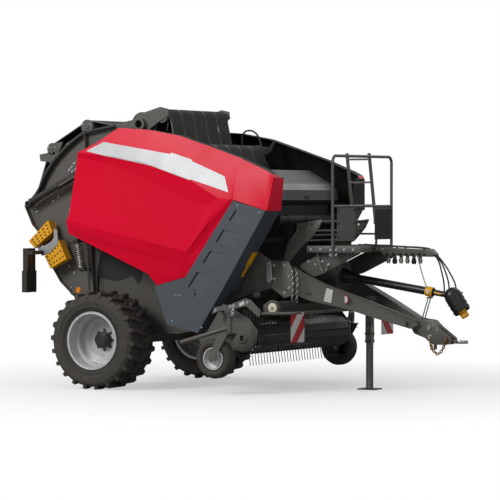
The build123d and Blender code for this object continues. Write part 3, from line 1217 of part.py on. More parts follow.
with BuildPart() as cylinder_rods:
    with BuildSketch(cyl_plane.offset(240)):
        Circle(ROD_R)
    extrude(amount=CYL_LEN - 240 - EYE_R + 6)
    with BuildSketch(side(-CYL_Y + 18)):
        with Locations(CYL_LOW):
            Circle(EYE_R)
            Circle(EYE_PIN_R + 1, mode=Mode.SUBTRACT)
    extrude(amount=36)
    mirror(about=Plane.XZ)
cylinder_rods.part.label = "cylinder_rods"
export_step(cylinder_rods.part, "parts/cylinder_rods.step")

with BuildPart() as cylinder_brackets:
    with BuildSketch(side(-WALL_OUT)):
        Polygon((60, 2360), (150, 2360), (150, 2470), (80, 2470), align=None)
    extrude(amount=CYL_Y + CYL_R + 6 - WALL_OUT)
    with BuildSketch(side(-CYL_Y - CYL_R - 6)):
        Polygon((150, 2360), (150, 2470), (-90, 2486), (-150, 2446), (-120, 2405), (60, 2360), align=None)
    extrude(amount=10)
    with BuildSketch(side(-CYL_Y + 26)):
        with Locations(CYL_HIGH):
            Circle(EYE_PIN_R)
    extrude(amount=26 + CYL_R + 6)
    mirror(about=Plane.XZ)
cylinder_brackets.part.label = "cylinder_brackets"
export_step(cylinder_brackets.part, "parts/cylinder_brackets.step")

# --------------------------------------------------- lamps, chocks on the tailgate
LAMP_X = -975.0
with BuildPart() as lamp_boards:
    with BuildSketch(Plane(origin=(AXLE_X + LAMP_X, -950, 1215), x_dir=(0, 1, 0), z_dir=(-1, 0, 0))):
        with Locations((0, 120)):
            Rectangle(190, 230)
        with Locations((0, -110)):
            Rectangle(150, 240)
    extrude(amount=60)
    with BuildSketch(side(-GATE_OUT)):
        with Locations((LAMP_X + 50, 1400)):
            Rectangle(40, 40)
    extrude(amount=800 - GATE_OUT)
    with BuildSketch(side(-780)):
        with Locations((LAMP_X + 35, 1400)):
            Rectangle(70, 40)
    extrude(amount=260)
    mirror(about=Plane.XZ)
lamp_boards.part.label = "lamp_boards"
export_step(lamp_boards.part, "parts/lamp_boards.step")

CHOCK_OUT = 70.0          # holder's depth
CHOCK_W = 110.0
with BuildPart() as chock_holder:
    with BuildSketch(side(-GATE_OUT)):
        with Locations((-830, 1470)):
            Rectangle(150, 60, rotation=-55)
        with Locations((-930, 1600)):
            Rectangle(130, 50, rotation=40)
    extrude(amount=CHOCK_OUT)
chock_holder.part.label = "chock_holder"
export_step(chock_holder.part, "parts/chock_holder.step")

# two folded chocks: a sheet outline along the wedge, open on both sides
chock_high = [(-854, 1738), (-1098, 1518), (-1026, 1444), (-797, 1616)]
chock_low = [(-899, 1361), (-722, 1532), (-622, 1332), (-823, 1229)]
with BuildPart() as wheel_chocks:
    with BuildSketch(side(-GATE_OUT - CHOCK_OUT - SEAT)):
        for outline in (chock_high, chock_low):
            Polygon(*outline, align=None)
    extrude(amount=4)
    with BuildSketch(side(-GATE_OUT - CHOCK_OUT - SEAT)):
        for outline in (chock_high, chock_low):
            with BuildSketch(mode=Mode.PRIVATE) as sheet:
                Polygon(*outline, align=None)
                offset(amount=-4, kind=Kind.INTERSECTION, mode=Mode.SUBTRACT)
            add(sheet.sketch)
    extrude(amount=CHOCK_W)
    # round holes through the sheet's backs
    with BuildSketch(side(-GATE_OUT - CHOCK_OUT + 2)):
        with Locations((-1010, 1530), (-955, 1575), (-900, 1625), (-865, 1370), (-815, 1420), (-765, 1465), (-790, 1310),
                       (-735, 1360)):
            Circle(14)
    extrude(amount=10, mode=Mode.SUBTRACT)
wheel_chocks.part.label = "wheel_chocks"
export_step(wheel_chocks.part, "parts/wheel_chocks.step")

# ------------------------------------------------------------------------- hoses
def cord_line(points):
    """Straight runs joined by tangent arcs, each arc as wide as its shorter run lets it be."""
    with BuildLine() as path:
        runs = [(Vector(*q) - Vector(*p)) for p, q in zip(points, points[1:])]
        radii = []
        at = Vector(*points[0])
        for run, after, corner in zip(runs, runs[1:], points[1:]):
            turn = radians(run.get_angle(after))
            short = 0.45 * min(run.length, after.length)
            radii.append(short / (sin(turn / 2) / cos(turn / 2)))
            start = Vector(*corner) - run.normalized() * short
            stop = Vector(*corner) + after.normalized() * short
            Line(at, start)
            TangentArc(start, stop, tangent=run)
            at = stop
        Line(at, Vector(*points[-1]))
    return path.wires()[0], radii


HOSE_R = 8.0
CABLE_R = 5.0
HOSES = {
    "hose_1": (HOSE_R, [(3294.5, 40, 1390.5), (3366, 40, 1319), (3428, 70, 1205), (3474, 104, 1090), (3474, 104, 1022)]),
    "hose_2": (HOSE_R, [(3294.5, 12, 1390.5), (3352, 12, 1333), (3388, 56, 1200), (3400, 96, 1090), (3400, 96, 1022)]),
    "hose_3": (HOSE_R, [(3294.5, -16, 1390.5), (3334, -16, 1351), (3346, 40, 1210), (3345, 96, 1100), (3345, 96, 1022)]),
    "hose_loop": (CABLE_R, [(3442, 112, 1010), (3442, 112, 880), (3452, 112, 812), (3516, 112, 812), (3526, 112, 880),
                            (3526, 112, 1010)]),
}
for name, (radius, points) in HOSES.items():
    placed = [(AXLE_X + x, y, z) for x, y, z in points]
    line, radii = cord_line(placed)
    with BuildPart() as hose:
        with BuildSketch(Plane(origin=line @ 0, z_dir=line % 0)):
            Circle(radius)
        sweep(path=line)
    hose.part.label = name
    export_step(hose.part, f"parts/{name}.step")
    print(name, "radii", [round(r) for r in radii], "length", round(line.length),
          "volume ratio", round(hose.part.volume / (pi * radius ** 2 * line.length), 4))
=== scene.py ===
import bpy
import bmesh
import json
from math import cos, pi, radians, sin
from mathutils import Matrix, Vector
from mathutils.bvhtree import BVHTree


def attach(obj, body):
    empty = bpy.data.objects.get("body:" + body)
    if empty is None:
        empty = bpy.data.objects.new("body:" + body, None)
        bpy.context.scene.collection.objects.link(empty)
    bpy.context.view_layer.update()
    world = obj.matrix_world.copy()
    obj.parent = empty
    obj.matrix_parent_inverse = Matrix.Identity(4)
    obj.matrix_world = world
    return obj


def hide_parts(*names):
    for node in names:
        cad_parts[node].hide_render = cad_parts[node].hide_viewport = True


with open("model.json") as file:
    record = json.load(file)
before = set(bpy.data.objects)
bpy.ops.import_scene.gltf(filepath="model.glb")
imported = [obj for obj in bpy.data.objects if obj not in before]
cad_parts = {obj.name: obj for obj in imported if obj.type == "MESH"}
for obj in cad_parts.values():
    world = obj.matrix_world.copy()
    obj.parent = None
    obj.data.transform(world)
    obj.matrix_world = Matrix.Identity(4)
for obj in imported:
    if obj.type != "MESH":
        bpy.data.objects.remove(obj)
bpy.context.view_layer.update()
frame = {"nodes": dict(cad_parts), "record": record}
nodes = frame["nodes"]
record = frame["record"]
body_with = {node: body for body, held in record["behaviour"]["bodies"].items() for node in held}

AXLE_X = -1.228           # the axle in the row frame, metres
AXLE_Z = 0.505


def at(x, y, z):
    """Place given in millimetres forward of the axle, to the left of the middle and above the ground."""
    return Vector((AXLE_X + x / 1000, y / 1000, z / 1000))


# ------------------------------------------------------------------------ camera
camera_data = bpy.data.cameras.new("camera")
camera_data.lens = 206.1
camera_data.sensor_width = 36
camera_data.clip_end = 200
camera = bpy.data.objects.new("camera", camera_data)
camera.location = (14.547, -26.242, 1.978)
camera.rotation_euler = (radians(90 - 1.044864), 0, radians(29.150753))
bpy.context.scene.collection.objects.link(camera)
bpy.context.scene.camera = camera
bpy.context.scene.view_settings.view_transform = "Standard"


# --------------------------------------------------------------------- materials
def linear(hex_colour):
    """sRGB hex to the linear colour that shaders take."""
    parts = [int(hex_colour[i:i + 2], 16) / 255 for i in (1, 3, 5)]
    return tuple(p / 12.92 if p <= 0.04045 else ((p + 0.055) / 1.055) ** 2.4 for p in parts) + (1,)


def put(tree, kind, **values):
    """Adds a node and sets it: a property, an input's value, or a link from another node's output.

    An input is named with _ for each space, or is i and its number.
    """
    node = tree.nodes.new("ShaderNode" + kind)
    for key, value in values.items():
        by_number = key[0] == "i" and key[1:].isdigit()
        if not by_number and hasattr(node, key):
            setattr(node, key, value)
            continue
        socket = node.inputs[int(key[1:])] if by_number else node.inputs[key.replace("_", " ")]
        if isinstance(value, bpy.types.NodeSocket):
            tree.links.new(value, socket)
        else:
            socket.default_value = value
    return node


def sums(tree, operation, first, second=0.0):
    """Output of one arithmetic node."""
    return put(tree, "Math", operation=operation, i0=first, i1=second).outputs[0]


def blend(tree, share, first, second):
    """Colour that goes from the first to the second."""
    return put(tree, "Mix", data_type="RGBA", Factor=share, i6=first, i7=second).outputs[2]


DUST_TOP, DUST_LOW = 1.4, 0.1      # heights between which dust thickens, metres
DUST_LEAST = 0.12         # its share above them


def surface(name, colour, worn, rough, metallic=0.0, patch_mm=90.0, grain_mm=2.0, grain=0.15, coat=0.0,
            dirt=None, dirt_share=0.0, mark=None, specular=0.5):
    """Finish whose colour drifts to a worn tone in patches, with a fine grain and dust that settles low down.

    mark(tree, where) may give a mask and a hex colour that is laid over the rest. specular is the mirror
    reflection of the bare surface, where 0.5 is that of a plain polymer.
    """
    material = bpy.data.materials.new(name)
    material.use_nodes = True
    tree = material.node_tree
    shader = tree.nodes["Principled BSDF"]
    where = put(tree, "TexCoord").outputs["Object"]
    patch = put(tree, "TexNoise", Vector=where, Scale=1000 / patch_mm, Detail=5.0, Roughness=0.6)
    fine = put(tree, "TexNoise", Vector=where, Scale=1000 / grain_mm, Detail=2.0)
    share = put(tree, "MapRange", Value=patch.outputs["Fac"], From_Min=0.45, From_Max=0.72)
    tone = blend(tree, share.outputs["Result"], linear(colour), linear(worn))
    if dirt:
        height = put(tree, "SeparateXYZ", Vector=where).outputs["Z"]
        low = put(tree, "MapRange", Value=height, From_Min=DUST_TOP, From_Max=DUST_LOW, To_Min=DUST_LEAST,
                  To_Max=dirt_share)
        dust = sums(tree, "MULTIPLY", low.outputs["Result"], patch.outputs["Fac"])
        tone = blend(tree, dust, tone, linear(dirt))
    if mark:
        mask, mark_colour = mark(tree, where)
        tone = blend(tree, mask, tone, linear(mark_colour))
    tree.links.new(tone, shader.inputs["Base Color"])
    ramp = put(tree, "MapRange", Value=patch.outputs["Fac"], From_Min=0.3, From_Max=0.8, To_Min=rough - 0.06,
               To_Max=rough + 0.08)
    tree.links.new(ramp.outputs["Result"], shader.inputs["Roughness"])
    bump = put(tree, "Bump", Strength=grain, Distance=0.001 * grain_mm, Height=fine.outputs["Fac"])
    tree.links.new(bump.outputs["Normal"], shader.inputs["Normal"])
    shader.inputs["Metallic"].default_value = metallic
    shader.inputs["Specular IOR Level"].default_value = specular
    shader.inputs["Coat Weight"].default_value = coat
    shader.inputs["Coat Roughness"].default_value = 0.1
    return material


BELT_PITCH = 0.244        # belts across the chamber
BELT_HALF = 0.113
BELT_EDGE = 0.0025        # pale edge, as wide as it needs to be to show
DARK_RING_RADIUS = 0.335      # darkest ring on the tyres' sidewalls
BOARD_STRIPE = 0.1414     # width of the boards' slanted stripes, each way across


def belt_edges(tree, where):
    """Pale cut edge along both sides of each belt."""
    across = put(tree, "SeparateXYZ", Vector=where).outputs["Y"]
    off = sums(tree, "PINGPONG", across, BELT_PITCH / 2)
    return sums(tree, "GREATER_THAN", off, BELT_HALF - BELT_EDGE), "#8F8B84"


def board_stripes(tree, where):
    """Red stripes at 45 degrees on the white boards, mirrored from side to side."""
    parts = put(tree, "SeparateXYZ", Vector=where)
    across = sums(tree, "ABSOLUTE", parts.outputs["Y"])
    slant = sums(tree, "ADD", sums(tree, "ADD", across, parts.outputs["Z"]), BOARD_STRIPE * 0.04)
    step = sums(tree, "FRACT", sums(tree, "DIVIDE", slant, 2 * BOARD_STRIPE))
    return sums(tree, "GREATER_THAN", step, 0.5), "#A80014"


def sidewall_dark_ring(tree, where):
    """Darker ring on the sidewall, fading out each way from a set distance from the hub."""
    parts = put(tree, "SeparateXYZ", Vector=where)
    forward = sums(tree, "SUBTRACT", parts.outputs["X"], AXLE_X)
    up = sums(tree, "SUBTRACT", parts.outputs["Z"], AXLE_Z)
    squares = sums(tree, "ADD", sums(tree, "MULTIPLY", forward, forward), sums(tree, "MULTIPLY", up, up))
    off = sums(tree, "ABSOLUTE", sums(tree, "SUBTRACT", sums(tree, "SQRT", squares), DARK_RING_RADIUS))
    near = sums(tree, "SUBTRACT", 1.0, sums(tree, "MULTIPLY", off, 26.0))
    return sums(tree, "MULTIPLY", sums(tree, "MAXIMUM", near, 0.0), 0.55), "#23211E"


DUST = "#8D8371"
# gloss-moulded polymer: deep even red that mirrors little, so that it keeps its colour on the shoulders
red = surface("gloss_moulded_red", "#E0002F", "#DC0024", 0.36, specular=0.16, grain_mm=6, grain=0.02,
              patch_mm=600)
# satin polymer skins: cool grey, soft grain that scatters the highlight
blue_grey = surface("satin_moulded_blue_grey", "#474F56", "#424A50", 0.42, grain_mm=3, grain=0.12,
                    patch_mm=300)
lid_grey = surface("satin_lid_skin", "#43474C", "#3E4247", 0.32, grain_mm=3, grain=0.1, patch_mm=300)
# sprayed frame paint: warm grey, slightly uneven, dusty low down
frame_grey = surface("sprayed_frame_paint", "#55534F", "#4A4845", 0.46, grain_mm=5, grain=0.12, patch_mm=160,
                     dirt=DUST, dirt_share=0.12)
# the same paint on the chamber walls, darker where it stands in shade and dust
wall_grey = surface("shaded_wall_paint", "#454340", "#3B3937", 0.5, grain_mm=5, grain=0.12, patch_mm=200,
                    dirt=DUST, dirt_share=0.14)
# satin paint on steel: soft highlight, a little dust
black_paint = surface("satin_black_paint", "#19191A", "#232220", 0.42, grain_mm=4, dirt=DUST, dirt_share=0.10)
# matt black that paints shade: on the side panels' insides and top flanges, on the chamber walls under the
# panels and in slots and holes; the net box and a plate on the guard hoop take it too
black_and_painted_shade = surface("matt_black_and_painted_shade", "#131314", "#1A1A1A", 0.62, grain_mm=3)
# moulded polymer and rubber hose: smooth black with a soft sheen
black_plastic = surface("moulded_black_polymer", "#17181A", "#202124", 0.34, grain_mm=4, grain=0.1)
hose_rubber = surface("smooth_hose_rubber", "#1A1A1A", "#262624", 0.5, grain_mm=3, grain=0.2)
# fabric-faced belt: matt black weave with pale cut edges
belt_rubber = surface("woven_faced_belt", "#1D1C1B", "#282624", 0.72, grain_mm=5, grain=0.5, mark=belt_edges)
# used tyre rubber: matt grey-black, dusty, rough to the touch
tyre_rubber = surface("moulded_tyre_rubber", "#33312E", "#3C3A36", 0.8, grain_mm=6, grain=0.35, dirt=DUST,
                      dirt_share=0.16, mark=sidewall_dark_ring)
small_tyre_rubber = surface("small_tyre_rubber", "#262523", "#302E2A", 0.76, grain_mm=5, grain=0.35,
                            dirt=DUST, dirt_share=0.16)
# silver paint on the rims, bright and worn steel, galvanised and passivated steel: metals that mirror softly
silver = surface("silver_rim_paint", "#C6C7C8", "#B4B5B6", 0.36, metallic=0.25, grain_mm=4, grain=0.06)
steel = surface("bright_steel", "#B5B2AC", "#8F8A82", 0.34, metallic=1.0, patch_mm=40)
worn_steel = surface("worn_tine_steel", "#57534D", "#3D3A36", 0.5, metallic=0.6, patch_mm=40)
zinc = surface("galvanised_steel", "#B3B5B6", "#94979A", 0.4, metallic=0.75, patch_mm=22)
brass = surface("yellow_passivated_chain", "#A08446", "#7D6637", 0.4, metallic=0.9, patch_mm=15)
# plain paint and printed film: even colour, faint grain
yellow = surface("sprayed_yellow", "#EBA900", "#DB9A00", 0.4, grain_mm=4)
cream = surface("cream_bearing_cap", "#D9D0B4", "#C9BF9F", 0.45, grain_mm=4)
label_white = surface("blank_white_label", "#D2D1CE", "#C8C7C3", 0.38, grain_mm=8, grain=0.03)
stripe_silver = surface("brushed_silver_label", "#BDBFC1", "#B2B4B6", 0.33, grain_mm=8, grain=0.03,
                        patch_mm=400)
sign_red = surface("red_sign_edge", "#B4102A", "#A80E26", 0.4)
# clear-coated lenses: deep colour under a bright highlight
amber = surface("amber_reflector", "#F08A00", "#E27E00", 0.25, coat=0.5)
lamp_red = surface("red_lamp_lens", "#8E0B14", "#7C0810", 0.2, coat=0.6)
board_white = surface("reflective_board", "#CBCAC6", "#BFBEBA", 0.35, grain_mm=6, grain=0.05,
                      mark=board_stripes)

finishes = {
    "red_panel": red, "grey_panel": blue_grey, "frame_paint": frame_grey, "black_paint": black_paint,
    "black_plastic": black_plastic, "belt": belt_rubber, "tyre": tyre_rubber, "rim": silver, "steel": steel,
    "yellow": yellow, "board": board_white, "hose": hose_rubber,
}
special = {
    "net_lid": lid_grey, "gauge_tyre_right": small_tyre_rubber, "gauge_tyre_left": small_tyre_rubber,
    # painted shade: the net box takes the matt black, darker than the black paint it has
    "pickup_reel": worn_steel, "gauge_rim_left": black_paint, "chock_holder": zinc, "net_box": black_and_painted_shade,
    "crop_roller": black_paint, "front_roller": black_paint, "side_walls": wall_grey,
    # painted shade: the jack leg is given black paint for the shade it stands in
    "cylinder_rods": black_paint, "jack_leg": black_paint,
}
slot_of = {}
for part in record["subparts"]:
    mesh = nodes[part["node"]].data
    mesh.materials.clear()
    mesh.materials.append(special.get(part["node"], finishes[part["material_slot"]]))
    slot_of[part["node"]] = part["material_slot"]


# ------------------------------------------------------------------ making pieces
HANDS = (("right", -1), ("left", 1))
SIDE = Vector((0, -1, 0))         # outwards on the right-hand side
FORWARD = Vector((1, 0, 0))
UP = Vector((0, 0, 1))


def keep(name, mesh, body, material, smooth=35):
    """Links a finished mesh as a piece that rides on a body."""
    if material:
        mesh.materials.append(material)
    mesh.shade_smooth()
    mesh.set_sharp_from_angle(angle=radians(smooth))
    piece = bpy.data.objects.new(name, mesh)
    bpy.context.scene.collection.objects.link(piece)
    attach(piece, body)
    return piece


def everything(shape):
    """All the elements of a bmesh."""
    return shape.verts[:] + shape.edges[:] + shape.faces[:]


def finish(name, shape, body, material, bevel=0.0, both_sides=False):
    """Closes a bmesh and keeps it as a piece; both_sides adds its mirror image across the middle."""
    if both_sides:
        bmesh.ops.mirror(shape, geom=everything(shape), axis="Y", merge_dist=0.0)
    bmesh.ops.recalc_face_normals(shape, faces=shape.faces)
    mesh = bpy.data.meshes.new(name)
    shape.to_mesh(mesh)
    shape.free()
    piece = keep(name, mesh, body, material)
    if bevel:
        rounding = piece.modifiers.new("rounding", "BEVEL")
        rounding.width = bevel
        rounding.segments = 2
        rounding.limit_method = "ANGLE"
        rounding.angle_limit = radians(40)


def along(a, b):
    """Matrix that takes the Z axis onto the line from a to b, at its middle."""
    return Matrix.Translation((a + b) / 2) @ (b - a).to_track_quat("Z", "Y").to_matrix().to_4x4()


def rod(shape, a, b, radius, sides=16, far_radius=None):
    """Round bar from a to b, tapered where the far end has a radius of its own."""
    bmesh.ops.create_cone(shape, cap_ends=True, segments=sides, radius1=radius,
                          radius2=radius if far_radius is None else far_radius, depth=(b - a).length,
                          matrix=along(a, b))


def bolt(shape, place, axis, size):
    """Washer sunk a little into what it holds, hexagon head and stub; size is half the head's width."""
    rod(shape, place - axis * 0.2 * size, place + axis * 0.2 * size, 1.35 * size, 18)
    rod(shape, place + axis * 0.2 * size, place + axis * 0.95 * size, 1.05 * size, 6, 0.98 * size)
    rod(shape, place + axis * 0.95 * size, place + axis * 1.15 * size, 0.5 * size, 12)


def grow(shape, face, move):
    """Gives a face its thickness."""
    grown = bmesh.ops.extrude_face_region(shape, geom=[face])
    moved = [v for v in grown["geom"] if isinstance(v, bmesh.types.BMVert)]
    bmesh.ops.translate(shape, verts=moved, vec=move)


def slab(shape, outline, near, far):
    """Plate from a side profile in millimetres, between two distances from the middle."""
    face = shape.faces.new([shape.verts.new(at(x, near, z)) for x, z in outline])
    grow(shape, face, (0, (far - near) / 1000, 0))


def plate(shape, corners, thick):
    """Plate from corners in space, grown along its normal."""
    face = shape.faces.new([shape.verts.new(c) for c in corners])
    face.normal_update()
    grow(shape, face, face.normal * thick)


def tube(name, points, radius, sides, steps):
    """Round curve object from its first control point to its last, drawn to the others on the way."""
    curve = bpy.data.curves.new(name, "CURVE")
    curve.dimensions = "3D"
    curve.bevel_depth = radius
    curve.bevel_resolution = sides
    curve.use_fill_caps = True
    spline = curve.splines.new("NURBS")
    spline.points.add(len(points) - 1)
    for point, place in zip(spline.points, points):
        point.co = (*place, 1)
    spline.order_u = 3
    spline.use_endpoint_u = True
    spline.resolution_u = steps
    holder = bpy.data.objects.new(name, curve)
    bpy.context.scene.collection.objects.link(holder)
    return holder


def pipe(name, points, radius, body, material, sides=4):
    """Rigid bent tube or wire, kept as a mesh."""
    holder = tube(name, points, radius, sides, 8)
    bpy.context.view_layer.update()
    mesh = bpy.data.meshes.new_from_object(holder)
    bpy.data.objects.remove(holder)
    mesh.materials.clear()
    keep(name, mesh, body, material, 50)


def link_shape(wire, half_width, length):
    """One chain link lying along X."""
    shape = bmesh.new()
    bmesh.ops.create_circle(shape, segments=6, radius=wire,
                            matrix=Matrix.Translation((half_width, 0, 0)) @ Matrix.Rotation(pi / 2, 4, "X"))
    bmesh.ops.spin(shape, geom=shape.verts[:] + shape.edges[:], cent=(0, 0, 0), axis=(0, 0, 1), angle=2 * pi,
                   steps=12, use_merge=True)
    for vert in shape.verts:
        vert.co.x += (length / 2 - half_width) * (1 if vert.co.x > 0 else -1)
    return shape


def chain(name, points, pitch, wire, material=steel):
    """Chain of links through points on the chassis; each link is turned a quarter from the last."""
    model = bpy.data.meshes.new(name)
    one = link_shape(wire, wire * 2.6, pitch + 2 * wire)
    one.to_mesh(model)
    one.free()
    shape = bmesh.new()
    run, turn = 0.0, 0
    for a, b in zip(points, points[1:]):
        length = (b - a).length
        while run < length:
            middle = a + (b - a) * (run / length)
            pose = Matrix.Translation(middle) @ (b - a).to_track_quat("X", "Z").to_matrix().to_4x4()
            before = len(shape.verts)
            shape.from_mesh(model)
            shape.verts.ensure_lookup_table()
            bmesh.ops.transform(shape, matrix=pose @ Matrix.Rotation(pi / 2 * (turn % 2), 4, "X"),
                                verts=shape.verts[before:])
            run += pitch
            turn += 1
        run -= length
    bpy.data.meshes.remove(model)
    finish(name, shape, "chassis", material)


def hanging(a, b, sag, steps=8):
    """Points of a chain that sags between two ends."""
    return [a.lerp(b, i / steps) - UP * sag * 4 * (i / steps) * (1 - i / steps) for i in range(steps + 1)]


def disc_profile(shape, centre, axis, profile, steps=32):
    """Turned piece: profile is (along the axis, radius) in metres, spun round the axis."""
    turn = axis.to_track_quat("Z", "Y").to_matrix().to_4x4()
    before = set(shape.verts)
    verts = [shape.verts.new(Vector((r, 0, u))) for u, r in profile]
    edges = [shape.edges.new(pair) for pair in zip(verts, verts[1:])]
    bmesh.ops.spin(shape, geom=verts + edges, cent=(0, 0, 0), axis=(0, 0, 1), angle=2 * pi, steps=steps,
                   use_merge=True)
    grown = [v for v in shape.verts if v not in before]
    bmesh.ops.remove_doubles(shape, verts=grown, dist=1e-6)
    grown = [v for v in shape.verts if v not in before]
    bmesh.ops.transform(shape, matrix=Matrix.Translation(centre) @ turn, verts=grown)


# --------------------------------------------------------------------------- cords
HOSES = {
    # name: radius, length, control points, millimetres
    "hose_1": (8, 0.429, [(3294.5, 40, 1390.5), (3366, 40, 1319), (3428, 70, 1205), (3474, 104, 1090),
                          (3474, 104, 1022)]),
    "hose_2": (8, 0.409, [(3294.5, 12, 1390.5), (3352, 12, 1333), (3388, 56, 1200), (3400, 96, 1090),
                          (3400, 96, 1022)]),
    "hose_3": (8, 0.405, [(3294.5, -16, 1390.5), (3334, -16, 1351), (3346, 40, 1210), (3345, 96, 1100),
                          (3345, 96, 1022)]),
    "hose_loop": (5, 0.441, [(3442, 112, 1010), (3442, 112, 880), (3452, 112, 812), (3516, 112, 812),
                             (3526, 112, 880), (3526, 112, 1010)]),
}
for name, (radius, length, points) in HOSES.items():
    hose = tube(name + "_run", [at(*place) for place in points], radius / 1000, 5, 16)
    hose.data.materials.append(hose_rubber)
    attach(hose, "chassis")
    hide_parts(name)


# ------------------------------------------------------------- skins with soft edges
MERGE = 0.00004           # metres between corners that are taken as one
FLAT = radians(0.7)       # faces that meet at less than this are taken as one
RAY_LIFT = 0.002          # metres off the face, so that a ray doesn't meet its own face
RAY_REACH = 0.5


def dressed(node, material, width, shade_material=None, corner=28, outward=None, dark=None):
    """Stands for a CAD node: a merged copy of its mesh with rounded edges.

    shade_material is the material that paints shade on the faces that have more of the skin outward of
    them, or whose normal dark() picks.
    corner is the least angle in degrees at which an edge is rounded.
    """
    shape = bmesh.new()
    shape.from_mesh(nodes[node].data)
    bmesh.ops.remove_doubles(shape, verts=shape.verts, dist=MERGE)
    bmesh.ops.dissolve_limit(shape, angle_limit=FLAT, use_dissolve_boundaries=False, verts=shape.verts,
                             edges=shape.edges)
    if shade_material:
        skin_tree = BVHTree.FromBMesh(shape)
        for face in shape.faces:
            start = face.calc_center_median() + face.normal * RAY_LIFT
            behind = skin_tree.ray_cast(start, outward, RAY_REACH)[0] is not None
            face.material_index = int(behind or dark(face.normal))
    soft = [e for e in shape.edges if len(e.link_faces) == 2 and e.calc_face_angle(0.0) > radians(corner)]
    if shade_material:
        soft = [e for e in soft if all(f.material_index == 0 for f in e.link_faces)]
    bmesh.ops.bevel(shape, geom=soft, offset=width, offset_type="OFFSET", segments=2, profile=0.5,
                    affect="EDGES", clamp_overlap=True, material=-1)
    mesh = bpy.data.meshes.new(node + "_skin")
    shape.to_mesh(mesh)
    shape.free()
    mesh.materials.append(material)
    if shade_material:
        mesh.materials.append(shade_material)
    skin = keep(node + "_skin", mesh, body_with[node], None, 30)
    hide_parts(node)


def flat_top(normal):
    """Top flange of a side panel."""
    return normal.z > 0.5 and abs(normal.y) < 0.2


def flat_top_or_front(normal):
    """Top flange or front edge of a side panel."""
    return flat_top(normal) or normal.x > 0.9


# the panels' faces meet at small angles, so nearly every edge is rounded
PANEL_CORNER = 5
PANEL_ROUND = 0.006
# painted shade: the panels' insides and top flanges, and the far panel's front edge, are given the matt black
dressed("panel_right", red, PANEL_ROUND, black_and_painted_shade, corner=PANEL_CORNER, outward=SIDE, dark=flat_top)
dressed("panel_left", red, PANEL_ROUND, black_and_painted_shade, corner=PANEL_CORNER, outward=-SIDE,
        dark=flat_top_or_front)
# pieces whose edges are only rounded, and by how much
for node, width in (("drawbar", 0.003), ("platform", 0.003), ("front_frame", 0.002), ("gearbox", 0.012),
                    ("jack_leg", 0.003), ("hose_bar", 0.003), ("tow_ring", 0.006)):
    dressed(node, special.get(node, finishes[slot_of[node]]), width)

# ------------------------------------------------------------ panel and fairing trim
# outline of the silver stripe, and the panels' ridge line from rear to front: forward and up, millimetres
STRIPE = [(-9, 2557), (787, 2426), (800, 2440), (1036, 2369), (1048, 2350), (1423, 2194), (1486, 2032),
          (1054, 2166), (1041, 2154), (793, 2214), (782, 2235), (-211, 2465)]
RIDGE = [(-700, 2490), (-318, 2450), (86, 2411), (569, 2315), (1044, 2160), (1373, 1976), (1546, 1957),
         (2100, 1810)]
STRIPE_CUTS = [-150, 330, 800, 1200]       # where the stripe may bend besides the ridge's corners
PANEL_Y = 1085            # the panels' outer face from the middle
SHOULDER_LEAN = 0.22      # inwards for each millimetre above the ridge
FLANK_IN, FLANK_DEPTH = 22, 50     # inwards below the ridge, over so much height
STRIPE_PROUD = 2.0


def ridge_height(x):
    """Height of the panels' ridge line."""
    for (x1, z1), (x2, z2) in zip(RIDGE, RIDGE[1:]):
        if x1 <= x <= x2:
            return z1 + (z2 - z1) * (x - x1) / (x2 - x1)
    return RIDGE[-1][1]


def on_shoulder(x, z, proud):
    """Place on the panel's leaning shoulder above its ridge, raised by proud millimetres."""
    return at(x, -PANEL_Y + SHOULDER_LEAN * max(0.0, z - ridge_height(x)) - proud, z)


for hand, sign in HANDS:
    shape = bmesh.new()
    shape.faces.new([shape.verts.new(at(x, 0, z)) for x, z in STRIPE])
    for x in [x for x, _ in RIDGE[1:6]] + STRIPE_CUTS:
        bmesh.ops.bisect_plane(shape, geom=everything(shape), plane_co=at(x, 0, 0), plane_no=FORWARD)
    for (x1, z1), (x2, z2) in zip(RIDGE, RIDGE[1:]):
        bmesh.ops.bisect_plane(shape, geom=everything(shape), plane_co=at(x1, 0, z1),
                               plane_no=(z2 - z1, 0, x1 - x2))
    for vert in shape.verts:
        x, z = (vert.co.x - AXLE_X) * 1000, vert.co.z * 1000
        below = max(0.0, ridge_height(x) - z)
        inwards = min(below, FLANK_DEPTH) * FLANK_IN / FLANK_DEPTH
        vert.co = on_shoulder(x, z, STRIPE_PROUD) + Vector((0, inwards / 1000, 0))
        vert.co.y *= -sign
    finish("silver_stripe_" + hand, shape, "panel_" + hand, stripe_silver)

# ------------------------------------------------------------------------ chassis
WALL_OUT = 626            # the chamber walls' outer face from the middle
FRONT_FOOT = (1416, 1035)          # lower end of the fairings' front wall, forward and up
FRONT_RUN = (493, 794)             # from there to its upper end


def on_front_wall(y, z):
    """Place just ahead of the fairings' leaning front wall."""
    return at(FRONT_FOOT[0] + (z - FRONT_FOOT[1]) * FRONT_RUN[0] / FRONT_RUN[1] + 1, y, z)


shape = bmesh.new()  # black plates on the chamber walls under the panels: painted shade
slab(shape, [(-415, 1520), (-426, 1241), (-315, 1131), (-110, 1101), (86, 1161), (137, 1081), (190, 1120),
             (190, 1400)], -WALL_OUT, -WALL_OUT - 5)
finish("wall_painted_shade", shape, "chassis", black_and_painted_shade, both_sides=True)
shape = bmesh.new()  # blank label in two steps on the fairings' front walls
for low, high, inner, outer in ((1172, 1300, -792, -846), (1288, 1420, -772, -876)):
    corners = [(low, inner), (low, outer), (high, outer), (high, inner)]
    plate(shape, [on_front_wall(y, z) for z, y in corners], 0.0015)
finish("fairing_labels", shape, "chassis", yellow, both_sides=True)

